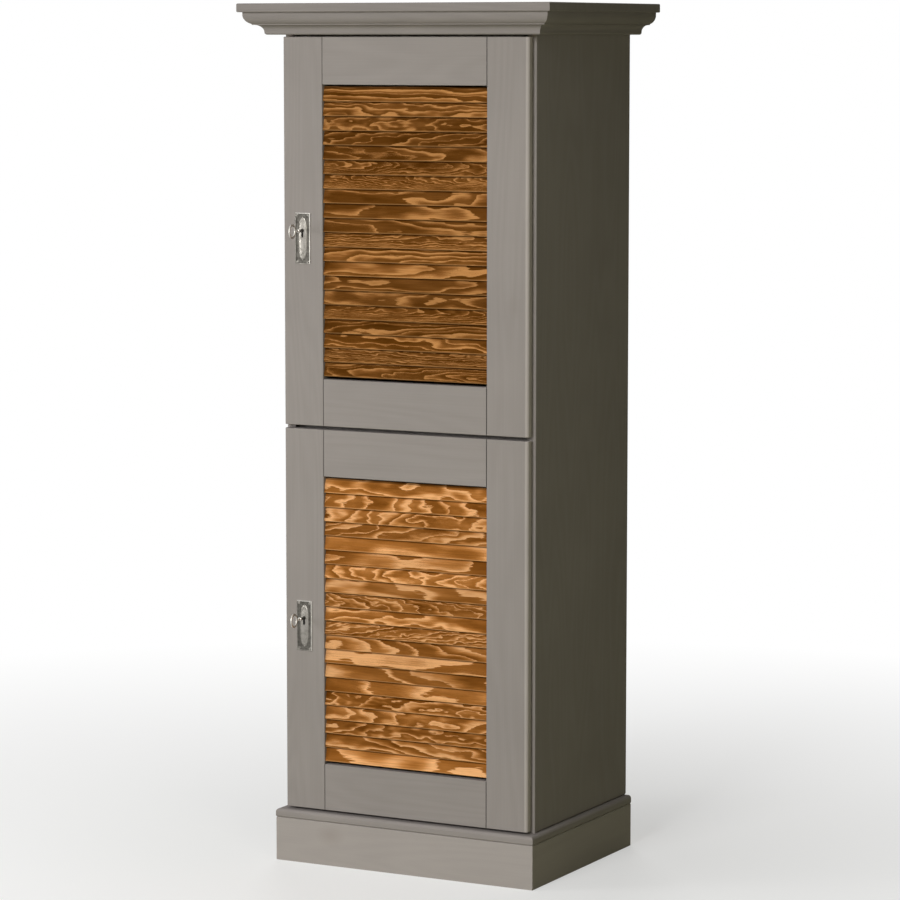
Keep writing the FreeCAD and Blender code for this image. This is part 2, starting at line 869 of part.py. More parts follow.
def make_lock_case(z):
    """Tray against the door's back, with a slot for the bolt and a lug at each end."""
    right = case_left + lock_case_width
    cover = y_door_back + lock_case_depth
    wall = lock_case_wall
    top = z + lock_case_above
    bottom = z - lock_case_below
    case = box((case_left, right), (y_door_back, cover), (bottom, top))
    hollow = box((case_left + wall, right - wall), (y_door_back, cover - wall), (bottom + wall, top - wall))
    low = z + bolt_above_key - bolt_play
    high = z + bolt_above_key + bolt_height + bolt_play
    slot = box((case_left, case_left + wall), bolt_room(bolt_play), (low, high))
    lug_x = span(case_left + lock_case_width / 2, lock_lug_width)
    lug_y = (y_door_back, y_door_back + lock_lug_thickness)
    lugs = [
        box(lug_x, lug_y, (top, top + lock_lug_length)),
        box(lug_x, lug_y, (bottom - lock_lug_length, bottom)),
    ]
    case = without(case, [hollow, slot]).fuse(lugs).removeSplitter()
    return without(case, [small_screw(place, -BACK) for place in lock_screw_places(z)])


def strike_middle(z):
    return z + bolt_above_key + bolt_height / 2


def strike_screws(z):
    y = y_front + strike_screw_setback
    middle = strike_middle(z)
    places = [Vector(-x_inner, y, place) for place in span(middle, strike_screw_spacing)]
    return [small_screw(place, -RIGHT) for place in places]


def strike_leg(z):
    front = y_front + strike_front_gap
    height = span(strike_middle(z), strike_height)
    return box((-x_inner - strike_thickness, -x_inner), (front, front + strike_depth), height)


def make_strike(z):
    """Angle let into the left side panel; its flange stands in front of the thrown bolt."""
    front = y_front + strike_front_gap
    flange_x = (-x_inner - strike_thickness, case_left - strike_case_gap)
    height = span(strike_middle(z), strike_height)
    flange = box(flange_x, (front, front + strike_thickness), height)
    return without(strike_leg(z).fuse(flange).removeSplitter(), strike_screws(z))


# All nodes of one door and of the hardware that meets it

def add_door(nodes, name):
    bottom = door_bottoms[name]
    z_key = keyhole_height(bottom)
    hinges = hinge_heights(bottom)
    lows = rail_lows(bottom)
    bolt_side = mirrored(make_stile(bottom))
    hinge_side = make_stile(bottom)
    flange_screws = [small_screw(p, -BACK) for z in hinges for p in flange_screw_places(z)]
    lock_screws = [small_screw(p, -BACK) for p in lock_screw_places(z_key)]
    pins = make_escutcheon_pins(z_key)
    keyway = keyhole(z_key, y_door_face, y_door_back, keyhole_relief)
    nodes[name + "_lock_stile"] = without(bolt_side, [keyway] + pins + lock_screws)
    nodes[name + "_hinge_stile"] = without(hinge_side, [cup_bore(z) for z in hinges] + flange_screws)
    nodes[name + "_bottom_rail"] = make_rail(lows["bottom"], bottom)
    nodes[name + "_top_rail"] = make_rail(lows["top"], bottom + door_height)
    nodes[name + "_louvres"] = Part.makeCompound(make_slats(bottom))
    nodes[name + "_escutcheon"] = make_escutcheon(z_key)
    nodes[name + "_escutcheon_pins"] = Part.makeCompound(pins)
    nodes[name + "_key"] = make_key(z_key)
    nodes[name + "_lock_case"] = make_lock_case(z_key)
    nodes[name + "_lock_bolt"] = make_bolt(z_key)
    nodes[name + "_strike"] = make_strike(z_key)
    nodes[name + "_door_screws"] = Part.makeCompound(flange_screws + lock_screws)
    nodes[name + "_hinge_cups"] = Part.makeCompound([make_cup(z) for z in hinges])
    nodes[name + "_hinge_pins"] = Part.makeCompound([make_hinge_pin(z) for z in hinges])
    nodes[name + "_hinge_arms"] = Part.makeCompound([make_arm(z) for z in hinges])
    nodes[name + "_hinge_plates"] = Part.makeCompound([make_hinge_plate(z) for z in hinges])
    nodes[name + "_bumpers"] = Part.makeCompound(make_bumpers(bottom))


def add_body(nodes):
    dowels = make_dowels()
    body_screws = make_body_screws()
    back_screws = make_back_screws()
    keys = [keyhole_height(bottom) for bottom in door_bottoms.values()]
    hinges = [z for bottom in door_bottoms.values() for z in hinge_heights(bottom)]
    hinge_screws = [s for z in hinges for s in plate_screws(z) + [arm_screw(z)]]
    keeper_screws = [s for z in keys for s in strike_screws(z)]
    fasteners = dowels + body_screws + back_screws
    side = make_side()
    strikes = [strike_leg(z) for z in keys]
    nodes["side_left"] = without(mirrored(side), fasteners + strikes + keeper_screws)
    nodes["side_right"] = without(side, fasteners + hinge_screws)
    for name, low in zip(("carcass_bottom", "middle_shelf", "carcass_top"), panel_heights):
        nodes[name] = without(make_panel(low), fasteners)
    nodes["back_panel"] = without(make_back_panel(), back_screws)
    for name, pin_line in shelf_heights().items():
        nodes[name + "_shelf"] = make_shelf(pin_line)
    nodes["shelf_pins"] = Part.makeCompound(make_shelf_pins())
    nodes["carcass_dowels"] = Part.makeCompound(dowels)
    nodes["carcass_screws"] = Part.makeCompound(body_screws)
    nodes["back_panel_screws"] = Part.makeCompound(back_screws)
    nodes["hardware_screws"] = Part.makeCompound(hinge_screws + keeper_screws)
    add_crown(nodes, body_screws)
    add_plinth(nodes, body_screws)


def add_crown(nodes, screws):
    front, left, right = mitred_run(crown_profile, crown_line, 0, moulding_reach, z_crown, z_plate)
    nodes["crown_front"] = front
    nodes["crown_left"] = left
    nodes["crown_right"] = right
    nodes["crown_plate"] = make_crown_plate()
    nodes["crown_frame"] = Part.makeCompound([without(batten, screws) for batten in make_crown_frame()])


def add_plinth(nodes, screws):
    inner = plinth_overhang - plinth_thickness
    boards = mitred_run(plinth_profile, plinth_line, inner, plinth_overhang, 0, plinth_height)
    cap_inner = cap_overhang - cap_width
    caps = mitred_run(cap_profile, plinth_line, cap_inner, cap_overhang, plinth_height, z_body)
    for place, board, cap in zip(("front", "left", "right"), boards, caps):
        nodes["plinth_" + place] = board
        nodes["plinth_cap_" + place] = without(cap, screws)
    nodes["plinth_back"] = make_plinth_back()
    nodes["plinth_corner_blocks"] = Part.makeCompound(make_corner_blocks())


def main():
    nodes = {}
    add_body(nodes)
    for name in door_bottoms:
        add_door(nodes, name)
    os.makedirs("parts", exist_ok=True)
    for name, shape in nodes.items():
        shape.exportStep("parts/" + name + ".step")
        count = len(shape.Solids)
        print(name, count, "solid" if count == 1 else "solids", "valid" if shape.isValid() else "INVALID")


main()
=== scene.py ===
# %% [markdown]
# The cupboard arrives as a imported CAD model: boards, doors, hinges and locks, each at its real
# size and in its real place. Blender's share of the work is the looks. So the first cell loads
# that model and bakes each part's place into its mesh.

import math
import random

import bmesh
import bpy
from mathutils import Matrix, Vector


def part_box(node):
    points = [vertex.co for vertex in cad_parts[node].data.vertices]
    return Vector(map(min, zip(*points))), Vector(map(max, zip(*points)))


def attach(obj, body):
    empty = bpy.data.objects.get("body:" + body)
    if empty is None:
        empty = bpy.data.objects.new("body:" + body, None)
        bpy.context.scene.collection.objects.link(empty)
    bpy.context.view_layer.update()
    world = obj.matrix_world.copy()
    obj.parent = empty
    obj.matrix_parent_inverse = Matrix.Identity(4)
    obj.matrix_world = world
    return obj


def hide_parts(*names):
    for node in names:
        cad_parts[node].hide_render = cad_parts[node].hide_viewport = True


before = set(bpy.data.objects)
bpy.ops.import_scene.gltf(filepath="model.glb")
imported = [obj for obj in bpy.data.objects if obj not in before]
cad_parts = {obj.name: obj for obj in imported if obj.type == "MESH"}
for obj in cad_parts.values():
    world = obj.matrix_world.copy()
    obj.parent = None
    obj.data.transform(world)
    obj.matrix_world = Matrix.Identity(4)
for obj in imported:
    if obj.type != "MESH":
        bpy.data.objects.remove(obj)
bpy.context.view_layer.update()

# %% [markdown]
# A tall piece of furniture is photographed from a distance with a long lens, so that its upright
# lines stay almost parallel. The camera stands about seven and a half metres away, to the right of
# the doors and near the height of the crown. A camera looks along its own -Z axis, so the line
# from the eye to the aim is turned into a rotation that points -Z along it and keeps +Y up.

# %% Camera
EYE = Vector((3.5369, -6.6671, 1.7277))
AIM = Vector((0.0020, -0.0030, 0.8681))
LENS = 144.36
SENSOR_WIDTH = 36.0
FAR_CLIP = 100.0


def show(name, data):
    """Wrap a camera, a lamp or a mesh in an object and put it in the scene."""
    thing = bpy.data.objects.new(name, data)
    bpy.context.scene.collection.objects.link(thing)
    return thing


def turned_to(place, aim):
    """Rotation that points a camera or a lamp from place to aim."""
    return (aim - place).to_track_quat("-Z", "Y").to_euler()


def make_camera():
    lens = bpy.data.cameras.new("camera")
    lens.lens = LENS
    lens.sensor_width = SENSOR_WIDTH
    lens.clip_end = FAR_CLIP
    camera = show("camera", lens)
    camera.location = EYE
    camera.rotation_euler = turned_to(EYE, AIM)
    bpy.context.scene.camera = camera


make_camera()
print("camera distance:", round((EYE - AIM).length, 3), "m")

# %% [markdown]
# Every finish below is a small network of shader nodes. Adding each node takes several lines of
# Python, so a few helpers do it: one adds a node and fills its sockets, and the others do sums with
# the values that the nodes pass on.

# %% Helpers for shader nodes


def fill(tree, node, sockets):
    """Fill the sockets of a node with numbers, or with links from other nodes."""
    for socket, value in sockets.items():
        if isinstance(value, bpy.types.NodeSocket):
            tree.links.new(value, node.inputs[socket])
        else:
            node.inputs[socket].default_value = value


def put(tree, kind, sockets=None, **settings):
    """Add a node, change its settings and fill its sockets."""
    node = tree.nodes.new("ShaderNode" + kind)
    for setting, value in settings.items():
        setattr(node, setting, value)
    fill(tree, node, sockets or {})
    return node


def worked(tree, operation, first, second=0.0):
    return put(tree, "Math", {0: first, 1: second}, operation=operation).outputs[0]


def added(tree, first, second):
    return worked(tree, "ADD", first, second)


def times(tree, first, second):
    return worked(tree, "MULTIPLY", first, second)


print("nodes are added by put")

# %% [markdown]
# A pattern starts from a place on the board, in metres. A Mapping node stretches that place, a noise
# turns it into a grey value, and Map Range carries the value over to the range that is wanted. A
# noise keeps mostly to the middle of its values, so that middle is what gets spread.

# %% Helpers for patterns
NOISE_SPAN = (0.3, 0.7)


def ranged(tree, value, low, high, new_low, new_high):
    """Carry the values from low to high over to another range, and hold them inside it."""
    sockets = {0: value, 1: low, 2: high, 3: new_low, 4: new_high}
    return put(tree, "MapRange", sockets).outputs[0]


def spread(tree, pattern, new_low, new_high):
    """Carry a noise, most of which lies in its middle span, over to a range of its own."""
    return ranged(tree, pattern, *NOISE_SPAN, new_low, new_high)


def object_place(tree):
    return put(tree, "TexCoord").outputs["Object"]


def stretched(tree, vector, scale):
    return put(tree, "Mapping", {"Vector": vector, "Scale": scale}).outputs[0]


def noise(tree, vector, scale=1.0, detail=2.0, roughness=0.5):
    sockets = {"Vector": vector, "Scale": scale, "Detail": detail, "Roughness": roughness}
    return put(tree, "TexNoise", sockets).outputs[0]


print("middle of a noise:", NOISE_SPAN)

# %% [markdown]
# A finish is a Principled shader whose colour and roughness come from such patterns. A pattern mixes
# two colours, or makes one colour lighter and darker, and a Bump node lets it raise the surface.

# %% Helpers for finishes


def mixed(tree, share, first, second):
    return put(tree, "Mix", {0: share, 6: first, 7: second}, data_type="RGBA").outputs[2]


def shaded(tree, colour, value):
    """Make a colour lighter or darker by a factor that changes over the surface."""
    return put(tree, "HueSaturation", {"Color": colour, "Value": value}).outputs[0]


def cleared(owner):
    """Empty node tree of a material or of the world."""
    owner.use_nodes = True
    owner.node_tree.nodes.clear()
    return owner.node_tree


def new_finish(name):
    finish = bpy.data.materials.new(name)
    tree = cleared(finish)
    shader = put(tree, "BsdfPrincipled")
    put(tree, "OutputMaterial", {"Surface": shader.outputs[0]})
    return finish, tree, shader


def add_relief(tree, shader, height, depth):
    """Let a grey pattern raise and sink the surface by up to depth, in metres."""
    bump = put(tree, "Bump", {"Height": height, "Distance": depth, "Strength": 1.0})
    fill(tree, shader, {"Normal": bump.outputs[0]})


print("finishes are started by new_finish")

# %% [markdown]
# The floor is a wide pale sheet that takes the shadow of the cupboard and then fades to white. A
# real photographer uses a paper roll for this. Here the sheet mixes a plain diffuse surface with
# white light that only the camera and reflections can see, so that the floor looks bright without
# throwing more light on the boards. What does bounce off it is dimmer and yellower, so that the side
# in shade stays dark and warm. Inside the plinth there is none of that white light, because the slot
# above its back board lets one see in, and it's dark in there.

# %% Finish of the floor
FLOOR_COLOUR = (0.90, 0.90, 0.89, 1.0)
FLOOR_BOUNCE = (0.49, 0.49, 0.33, 1.0)
FADE_START = 0.5
FADE_END = 2.8
FADE_LEAST = 0.45
PLINTH_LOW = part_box("plinth_front")[0]
PLINTH_HIGH = Vector((-PLINTH_LOW.x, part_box("plinth_back")[1].y, PLINTH_LOW.z))
PLINTH_BOARD = 0.015


def seen_ray(tree):
    """1 for rays from the camera, from reflections and through glass, and 0 for bounced light."""
    path = put(tree, "LightPath").outputs
    shiny = worked(tree, "MAXIMUM", path["Is Glossy Ray"], path["Is Transmission Ray"])
    return worked(tree, "MAXIMUM", path["Is Camera Ray"], shiny)


def outside_plinth(tree, place):
    """0 on the floor inside the plinth's boards, and 1 outside them."""
    middle = (PLINTH_LOW + PLINTH_HIGH) / 2
    half = (PLINTH_HIGH - PLINTH_LOW) / 2
    from_middle = put(tree, "VectorMath", {0: place, 1: middle}, operation="SUBTRACT").outputs[0]
    away = put(tree, "SeparateXYZ", {0: from_middle}).outputs
    beyond_x = worked(tree, "GREATER_THAN", worked(tree, "ABSOLUTE", away["X"]), half.x - PLINTH_BOARD)
    beyond_y = worked(tree, "GREATER_THAN", worked(tree, "ABSOLUTE", away["Y"]), half.y - PLINTH_BOARD)
    return worked(tree, "MAXIMUM", beyond_x, beyond_y)


def floor_finish():
    finish = bpy.data.materials.new("floor_paper")
    tree = cleared(finish)
    seen = seen_ray(tree)
    colour = mixed(tree, seen, FLOOR_BOUNCE, FLOOR_COLOUR)
    paper = put(tree, "BsdfDiffuse", {"Color": colour}).outputs[0]
    white = put(tree, "Emission", {"Strength": 1.0}).outputs[0]
    place = object_place(tree)
    away = put(tree, "VectorMath", {0: place}, operation="LENGTH").outputs["Value"]
    fade = ranged(tree, away, FADE_START, FADE_END, FADE_LEAST, 1.0)
    share = times(tree, times(tree, fade, seen), outside_plinth(tree, place))
    surface = put(tree, "MixShader", {0: share, 1: paper, 2: white}).outputs[0]
    put(tree, "OutputMaterial", {"Surface": surface})
    return finish


print("floor fades to white from", FADE_START, "to", FADE_END, "m")

# %% [markdown]
# The sheet is a plain grid, big enough to reach past the edge of every view.

# %% Floor
FLOOR_REACH = 40.0
FLOOR_SQUARES = 8


def as_mesh(shape, name):
    """Turn a bmesh into a mesh, and free the bmesh."""
    mesh = bpy.data.meshes.new(name)
    shape.to_mesh(mesh)
    shape.free()
    return mesh


def make_floor():
    sheet = bmesh.new()
    bmesh.ops.create_grid(sheet, x_segments=FLOOR_SQUARES, y_segments=FLOOR_SQUARES, size=FLOOR_REACH)
    mesh = as_mesh(sheet, "floor")
    mesh.materials.append(floor_finish())
    floor = show("floor", mesh)


make_floor()
print("floor reach:", FLOOR_REACH, "m")

# %% [markdown]
# The light is a studio's. One very big soft lamp stands ten metres away in front and above, so that
# the right side stays in shade and the gaps round the doors stay dark. A small lamp at the left
# brightens the left edge of the doors. A weak warm one at the right grazes the side, which is why
# that side darkens towards the back, and it rounds off the right edge of the doors. One overhead
# lights the tops of the mouldings, and one behind lights the back. The world adds a little warm
# light from all round, and the camera sees it as white.

# %% Lamps and world
AMBIENT = (0.022, 0.022, 0.011, 1.0)
BACKDROP = (1.0, 1.0, 1.0, 1.0)
WHITE = (1.0, 1.0, 1.0)
WARM = (1.0, 0.98, 0.80)
LAMPS = {
    "front": {"place": (0.0, -10.0, 4.6), "size": 4.0, "power": 645.0, "colour": WHITE},
    "left": {"place": (-2.2, -1.8, 1.1), "size": 1.0, "power": 24.0, "colour": WHITE},
    "right": {"place": (2.2, -2.2, 1.7), "size": 1.0, "power": 12.5, "colour": WARM},
    "overhead": {"place": (-0.4, -0.8, 5.2), "size": 3.0, "power": 40.0, "colour": WHITE},
    "behind": {"place": (-2.6, 4.6, 2.0), "size": 2.5, "power": 110.0, "colour": WHITE},
}
LAMP_AIM = Vector((0.0, -0.1, 0.9))


def add_lamp(name, place, size, power, colour):
    light = bpy.data.lights.new(name, "AREA")
    light.shape = "DISK"
    light.size = size
    light.energy = power
    light.color = colour
    lamp = show(name, light)
    lamp.location = place
    lamp.rotation_euler = turned_to(lamp.location, LAMP_AIM)


def make_world():
    world = bpy.data.worlds.new("studio")
    tree = cleared(world)
    colour = mixed(tree, seen_ray(tree), AMBIENT, BACKDROP)
    background = put(tree, "Background", {"Color": colour, "Strength": 1.0})
    put(tree, "OutputWorld", {"Surface": background.outputs[0]})
    bpy.context.scene.world = world


for lamp_name, settings in LAMPS.items():
    add_lamp(lamp_name, **settings)
make_world()
bpy.context.scene.view_settings.view_transform = "Standard"
print("lamps:", ", ".join(LAMPS))

# %% [markdown]
# The boards are pine under a thin coat of taupe grey. Paint on pine isn't flat: the rings of the
# wood stand out a hair's breadth, the brush leaves fine lines along the grain, and knots show as
# faint stains. Slices through a stretched noise give lines that close into long arches, as rings
# do on a sawn board. The stretch follows the grain, so each board gets the finish whose grain runs
# along it: upright for stiles, sideways for rails, and backwards for side mouldings.

# %% Patterns of the wood
GRAIN_LENGTHWAYS = 1.1
GRAIN_ACROSS = 9.0


def along_grain(grain, lengthways, across):
    """Scale of a pattern that is drawn out along one axis."""
    return tuple(lengthways if axis == grain else across for axis in "XYZ")


def ring_lines(tree, place, grain, rings):
    """Soft lines, 0 to 1, like the rings on the face of a board."""
    drawn_out = stretched(tree, place, along_grain(grain, GRAIN_LENGTHWAYS, GRAIN_ACROSS))
    field = noise(tree, drawn_out, detail=1.0)
    wave = worked(tree, "SINE", times(tree, field, rings * 2 * math.pi))
    return ranged(tree, wave, -1.0, 1.0, 0.0, 1.0)


print("grain is drawn out:", round(GRAIN_ACROSS / GRAIN_LENGTHWAYS, 1), "to 1")

# %% [markdown]
# Three marks change the paint. Where a rail meets a stile the wood has moved and the paint has cracked, and
# the crack holds dirt: the rails' finish turns dark in the last millimetre before the joint. On the
# hinge side the doors' edge is rounded, and the paint there is made lighter as a painted highlight, a
# pale line beside the dark side. The bore for the key, behind the lock's plate, is painted nearly
# black as painted shade inside the hole. Each of these is a factor that is 1 on plain paint.

# %% Wear, painted highlight and painted shade of the paint
CRACK_WIDTH = 0.0013
CRACK_BLEND = 0.4
CRACK_DARK = 0.12
EDGE_HIGHLIGHT_WIDTH = 0.0075
EDGE_HIGHLIGHT_BLEND = 0.0030
EDGE_HIGHLIGHT_GAIN = 1.60
BORE_RISE = 0.011
BORE_REACH = 0.0125
BORE_BLEND = 0.0010
BORE_SHADE_DARK = 0.05


def crack_shade(tree, place, joint):
    aside = worked(tree, "ABSOLUTE", put(tree, "SeparateXYZ", {0: place}).outputs["X"])
    start = joint - CRACK_WIDTH
    return ranged(tree, aside, start, start + CRACK_BLEND * CRACK_WIDTH, 1.0, CRACK_DARK)


# Painted highlight: the paint is made lighter along the rounded hinge edge of the doors, where light would
# catch it.
def edge_painted_highlight(tree, place, edge):
    aside = put(tree, "SeparateXYZ", {0: place}).outputs["X"]
    start = edge - EDGE_HIGHLIGHT_WIDTH
    return ranged(tree, aside, start, start + EDGE_HIGHLIGHT_BLEND, 1.0, EDGE_HIGHLIGHT_GAIN)


# Painted shade: the paint is made nearly black inside the key's bore, where the hole lies in shade.
def bore_painted_shade(tree, place, bore):
    on_face = stretched(tree, place, (1.0, 0.0, 1.0))
    away = put(tree, "VectorMath", {0: on_face, 1: bore}, operation="DISTANCE").outputs["Value"]
    return ranged(tree, away, BORE_REACH, BORE_REACH + BORE_BLEND, BORE_SHADE_DARK, 1.0)


def bore_middle(door):
    """Middle of the bore for the key in a door's lock stile, seen from the front."""
    low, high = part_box(door + "_escutcheon")
    return Vector(((low.x + high.x) / 2, 0.0, (low.z + high.z) / 2 + BORE_RISE))


DOORS = ("lower", "upper")
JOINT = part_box("upper_hinge_stile")[0].x
DOOR_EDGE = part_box("upper_hinge_stile")[1].x
print("stiles meet rails at:", round(JOINT * 1000, 1), "mm from the middle")

# %% [markdown]
# The paint itself puts these together. It has no gloss: the white surroundings would show in it, and
# would wash out the side that lies in shade. The plinth gets a paler copy of the paint, as painted
# light, and the crown a darker copy, as painted shade.

# %% Painted pine
PAINT = (0.294, 0.267, 0.258, 1.0)
PAINT_KNOT = (0.228, 0.198, 0.180, 1.0)
PAINT_RINGS = 14
PAINT_ROUGH = (0.34, 0.44)
PAINT_RELIEF = 0.00006
RING_RISE = 0.6
BRUSH_RISE = 0.5
BRUSH_LENGTHWAYS = 5.0
BRUSH_ACROSS = 420.0
KNOT_LENGTHWAYS = 3.4
KNOT_ACROSS = 5.0
KNOT_SIZE = (0.02, 0.13)
KNOT_SHARE = 0.40
CLOUD_SCALE = 4.0
CLOUD_TONES = (0.955, 1.03)
RING_TONE = 0.018
BRUSH_TONE = 0.022
# The plinth's paint is made paler as painted light, and the crown's darker as painted shade.
PAINTED_LIGHT_ON_PLINTH = 1.28
PAINTED_SHADE_ON_CROWN = 0.86
NO_GLOSS = 0.0


def painted_pine(name, grain, lightness=1.0, joint=None, painted_highlight=None, bore=None):
    finish, tree, shader = new_finish(name)
    place = object_place(tree)
    rings = ring_lines(tree, place, grain, PAINT_RINGS)
    brush_place = stretched(tree, place, along_grain(grain, BRUSH_LENGTHWAYS, BRUSH_ACROSS))
    brush = noise(tree, brush_place, detail=3.0, roughness=0.6)
    clouds = noise(tree, place, scale=CLOUD_SCALE, detail=3.0)
    knot_place = stretched(tree, place, along_grain(grain, KNOT_LENGTHWAYS, KNOT_ACROSS))
    knot_away = put(tree, "TexVoronoi", {"Vector": knot_place, "Scale": 1.0}).outputs["Distance"]
    knots = ranged(tree, knot_away, *KNOT_SIZE, KNOT_SHARE, 0.0)
    from_rings = ranged(tree, rings, 0.0, 1.0, -RING_TONE, RING_TONE)
    change = lightness - 1.0
    from_brush = spread(tree, brush, change - BRUSH_TONE, change + BRUSH_TONE)
    tone = added(tree, added(tree, spread(tree, clouds, *CLOUD_TONES), from_rings), from_brush)
    if joint:
        tone = times(tree, tone, crack_shade(tree, place, joint))
    # Painted highlight along the rounded hinge edge.
    if painted_highlight:
        tone = times(tree, tone, edge_painted_highlight(tree, place, painted_highlight))
    # Painted shade inside the key's bore.
    if bore:
        tone = times(tree, tone, bore_painted_shade(tree, place, bore))
    colour = shaded(tree, mixed(tree, knots, PAINT, PAINT_KNOT), tone)
    rough = spread(tree, brush, *PAINT_ROUGH)
    fill(tree, shader, {"Base Color": colour, "Roughness": rough, "Specular IOR Level": NO_GLOSS})
    relief = added(tree, times(tree, rings, RING_RISE), times(tree, brush, BRUSH_RISE))
    add_relief(tree, shader, relief, PAINT_RELIEF)
    return finish


def paint_set(name, grains, lightness=1.0):
    """One finish for each way that the grain runs."""
    return {grain: painted_pine(f"{name}_{grain.lower()}", grain, lightness) for grain in grains}


PAINTED = paint_set("painted_pine", "XYZ")
# Painted light on the plinth and painted shade on the crown, as copies of the same paint.
LIT_PLINTH_PAINT = paint_set("lit_plinth_paint", "XY", PAINTED_LIGHT_ON_PLINTH)
SHADED_CROWN_PAINT = paint_set("shaded_crown_paint", "XY", PAINTED_SHADE_ON_CROWN)
RAIL_PAINT = painted_pine("rail_paint", "X", joint=JOINT)
# The hinge stiles carry a painted highlight on their rounded outer edge.
HINGE_STILE_PAINT = painted_pine("hinge_stile_paint", "Z", painted_highlight=DOOR_EDGE)
# The lock stiles carry painted shade inside the bore for the key.
LOCK_STILE_PAINT = {
    door: painted_pine(door + "_lock_stile_paint", "Z", bore=bore_middle(door)) for door in DOORS
}
print("lightness of plinth and crown:", PAINTED_LIGHT_ON_PLINTH, PAINTED_SHADE_ON_CROWN)

# %% [markdown]
# A CAD node keeps its mesh and only swaps its material. The table below says which way the grain of
# each painted board runs, as the joiner would have cut it.

# %% Paint the boards
BOARDS = (
    (PAINTED["Z"], ["side_left", "side_right"]),
    (PAINTED["X"], ["carcass_bottom", "middle_shelf", "carcass_top", "lower_shelf", "upper_shelf"]),
    (PAINTED["X"], ["plinth_cap_front"]),
    (PAINTED["Y"], ["plinth_cap_left", "plinth_cap_right"]),
    (RAIL_PAINT, [f"{door}_{end}_rail" for door in DOORS for end in ("bottom", "top")]),
    (HINGE_STILE_PAINT, [f"{door}_hinge_stile" for door in DOORS]),
    (LOCK_STILE_PAINT["lower"], ["lower_lock_stile"]),
    (LOCK_STILE_PAINT["upper"], ["upper_lock_stile"]),
    (LIT_PLINTH_PAINT["X"], ["plinth_front"]),
    (LIT_PLINTH_PAINT["Y"], ["plinth_left", "plinth_right"]),
    (SHADED_CROWN_PAINT["X"], ["crown_front", "crown_plate"]),
    (SHADED_CROWN_PAINT["Y"], ["crown_left", "crown_right"]),
)


def dress(finish, names):
    """Give CAD nodes a finish in place of the plain colour that they were packed with."""
    for name in names:
        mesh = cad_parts[name].data
        mesh.materials.clear()
        mesh.materials.append(finish)


for paint, board_names in BOARDS:
    dress(paint, board_names)
print("painted boards:", sum(len(board_names) for paint, board_names in BOARDS))

# %% [markdown]
# Some pieces are never painted: the battens inside the crown, the dowels, and the blocks and back
# board of the plinth. They are planed pine, pale yellow with darker rings. The ring lines that lie
# under the paint colour them too, only now at full strength.

# %% Bare pine
PINE_PALE = (0.640, 0.425, 0.205, 1.0)
PINE_RING = (0.470, 0.265, 0.100, 1.0)
PINE_RINGS = 26
PINE_RING_SHARPNESS = 2.4
PINE_FIBRE_LENGTHWAYS = 12.0
PINE_FIBRE_ACROSS = 700.0
PINE_TONES = (0.9, 1.08)
PINE_ROUGH = (0.72, 0.58)
PINE_GLOSS = 0.25
PINE_RELIEF = 0.00012
BARE = {"X": ["crown_frame", "carcass_dowels", "plinth_back"], "Z": ["plinth_corner_blocks"]}


def bare_pine(grain):
    finish, tree, shader = new_finish("bare_pine_" + grain.lower())
    place = object_place(tree)
    rings = ring_lines(tree, place, grain, PINE_RINGS)
    fibre_place = stretched(tree, place, along_grain(grain, PINE_FIBRE_LENGTHWAYS, PINE_FIBRE_ACROSS))
    fibre = noise(tree, fibre_place, detail=3.0, roughness=0.65)
    colour = mixed(tree, worked(tree, "POWER", rings, PINE_RING_SHARPNESS), PINE_PALE, PINE_RING)
    colour = shaded(tree, colour, spread(tree, fibre, *PINE_TONES))
    rough = ranged(tree, rings, 0.0, 1.0, *PINE_ROUGH)
    fill(tree, shader, {"Base Color": colour, "Roughness": rough, "Specular IOR Level": PINE_GLOSS})
    add_relief(tree, shader, fibre, PINE_RELIEF)
    return finish


for grain, bare_names in BARE.items():
    dress(bare_pine(grain), bare_names)
print("bare pieces:", sum(len(bare_names) for bare_names in BARE.values()))

# %% [markdown]
# The back is a thin board of pressed fibres, painted on the side that shows. It has no grain: a fine
# noise gives the felt of its fibres, and a broad one clouds the paint.

# %% Thin back board
BACK_PAINT = (0.262, 0.232, 0.205, 1.0)
PRESSED_SCALE = 260.0
PRESSED_TONES = (0.92, 1.06)
BACK_CLOUD_SCALE = 5.0
BACK_CLOUD_TONES = (0.95, 1.04)
BACK_ROUGH = (0.66, 0.8)
BACK_GLOSS = 0.2
BACK_RELIEF = 0.0001


def back_board():
    finish, tree, shader = new_finish("back_board")
    place = object_place(tree)
    pressed = noise(tree, place, scale=PRESSED_SCALE, detail=4.0, roughness=0.7)
    clouds = noise(tree, place, scale=BACK_CLOUD_SCALE)
    tone = times(tree, spread(tree, pressed, *PRESSED_TONES), spread(tree, clouds, *BACK_CLOUD_TONES))
    colour = shaded(tree, BACK_PAINT, tone)
    rough = spread(tree, pressed, *BACK_ROUGH)
    fill(tree, shader, {"Base Color": colour, "Roughness": rough, "Specular IOR Level": BACK_GLOSS})
    add_relief(tree, shader, pressed, BACK_RELIEF)
    return finish


dress(back_board(), ["back_panel"])
print("back dressed in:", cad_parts["back_panel"].data.materials[0].name)

# %% [markdown]
# The hardware has three metals. Two are plating: nickel on hinges, locks and shelf pins, and zinc on
# screws. A metal's colour is the colour of its reflections, so Metallic is 1 and the pattern goes
# mostly into the roughness, as fine scratches.

# %% Plated metal
SCRATCHES = (900.0, 900.0, 60.0)
PLATING_SCALE = 45.0
PLATING_TONES = (0.9, 1.05)
PLATING_RELIEF = 0.00001


def plated_metal(name, colour, smooth, rough):
    finish, tree, shader = new_finish(name)
    place = object_place(tree)
    clouds = noise(tree, place, scale=PLATING_SCALE, detail=3.0)
    scratches = noise(tree, stretched(tree, place, SCRATCHES), roughness=0.6)
    clouded = shaded(tree, colour, spread(tree, clouds, *PLATING_TONES))
    scratched = spread(tree, scratches, smooth, rough)
    fill(tree, shader, {"Base Color": clouded, "Roughness": scratched, "Metallic": 1.0})
    add_relief(tree, shader, scratches, PLATING_RELIEF)
    return finish


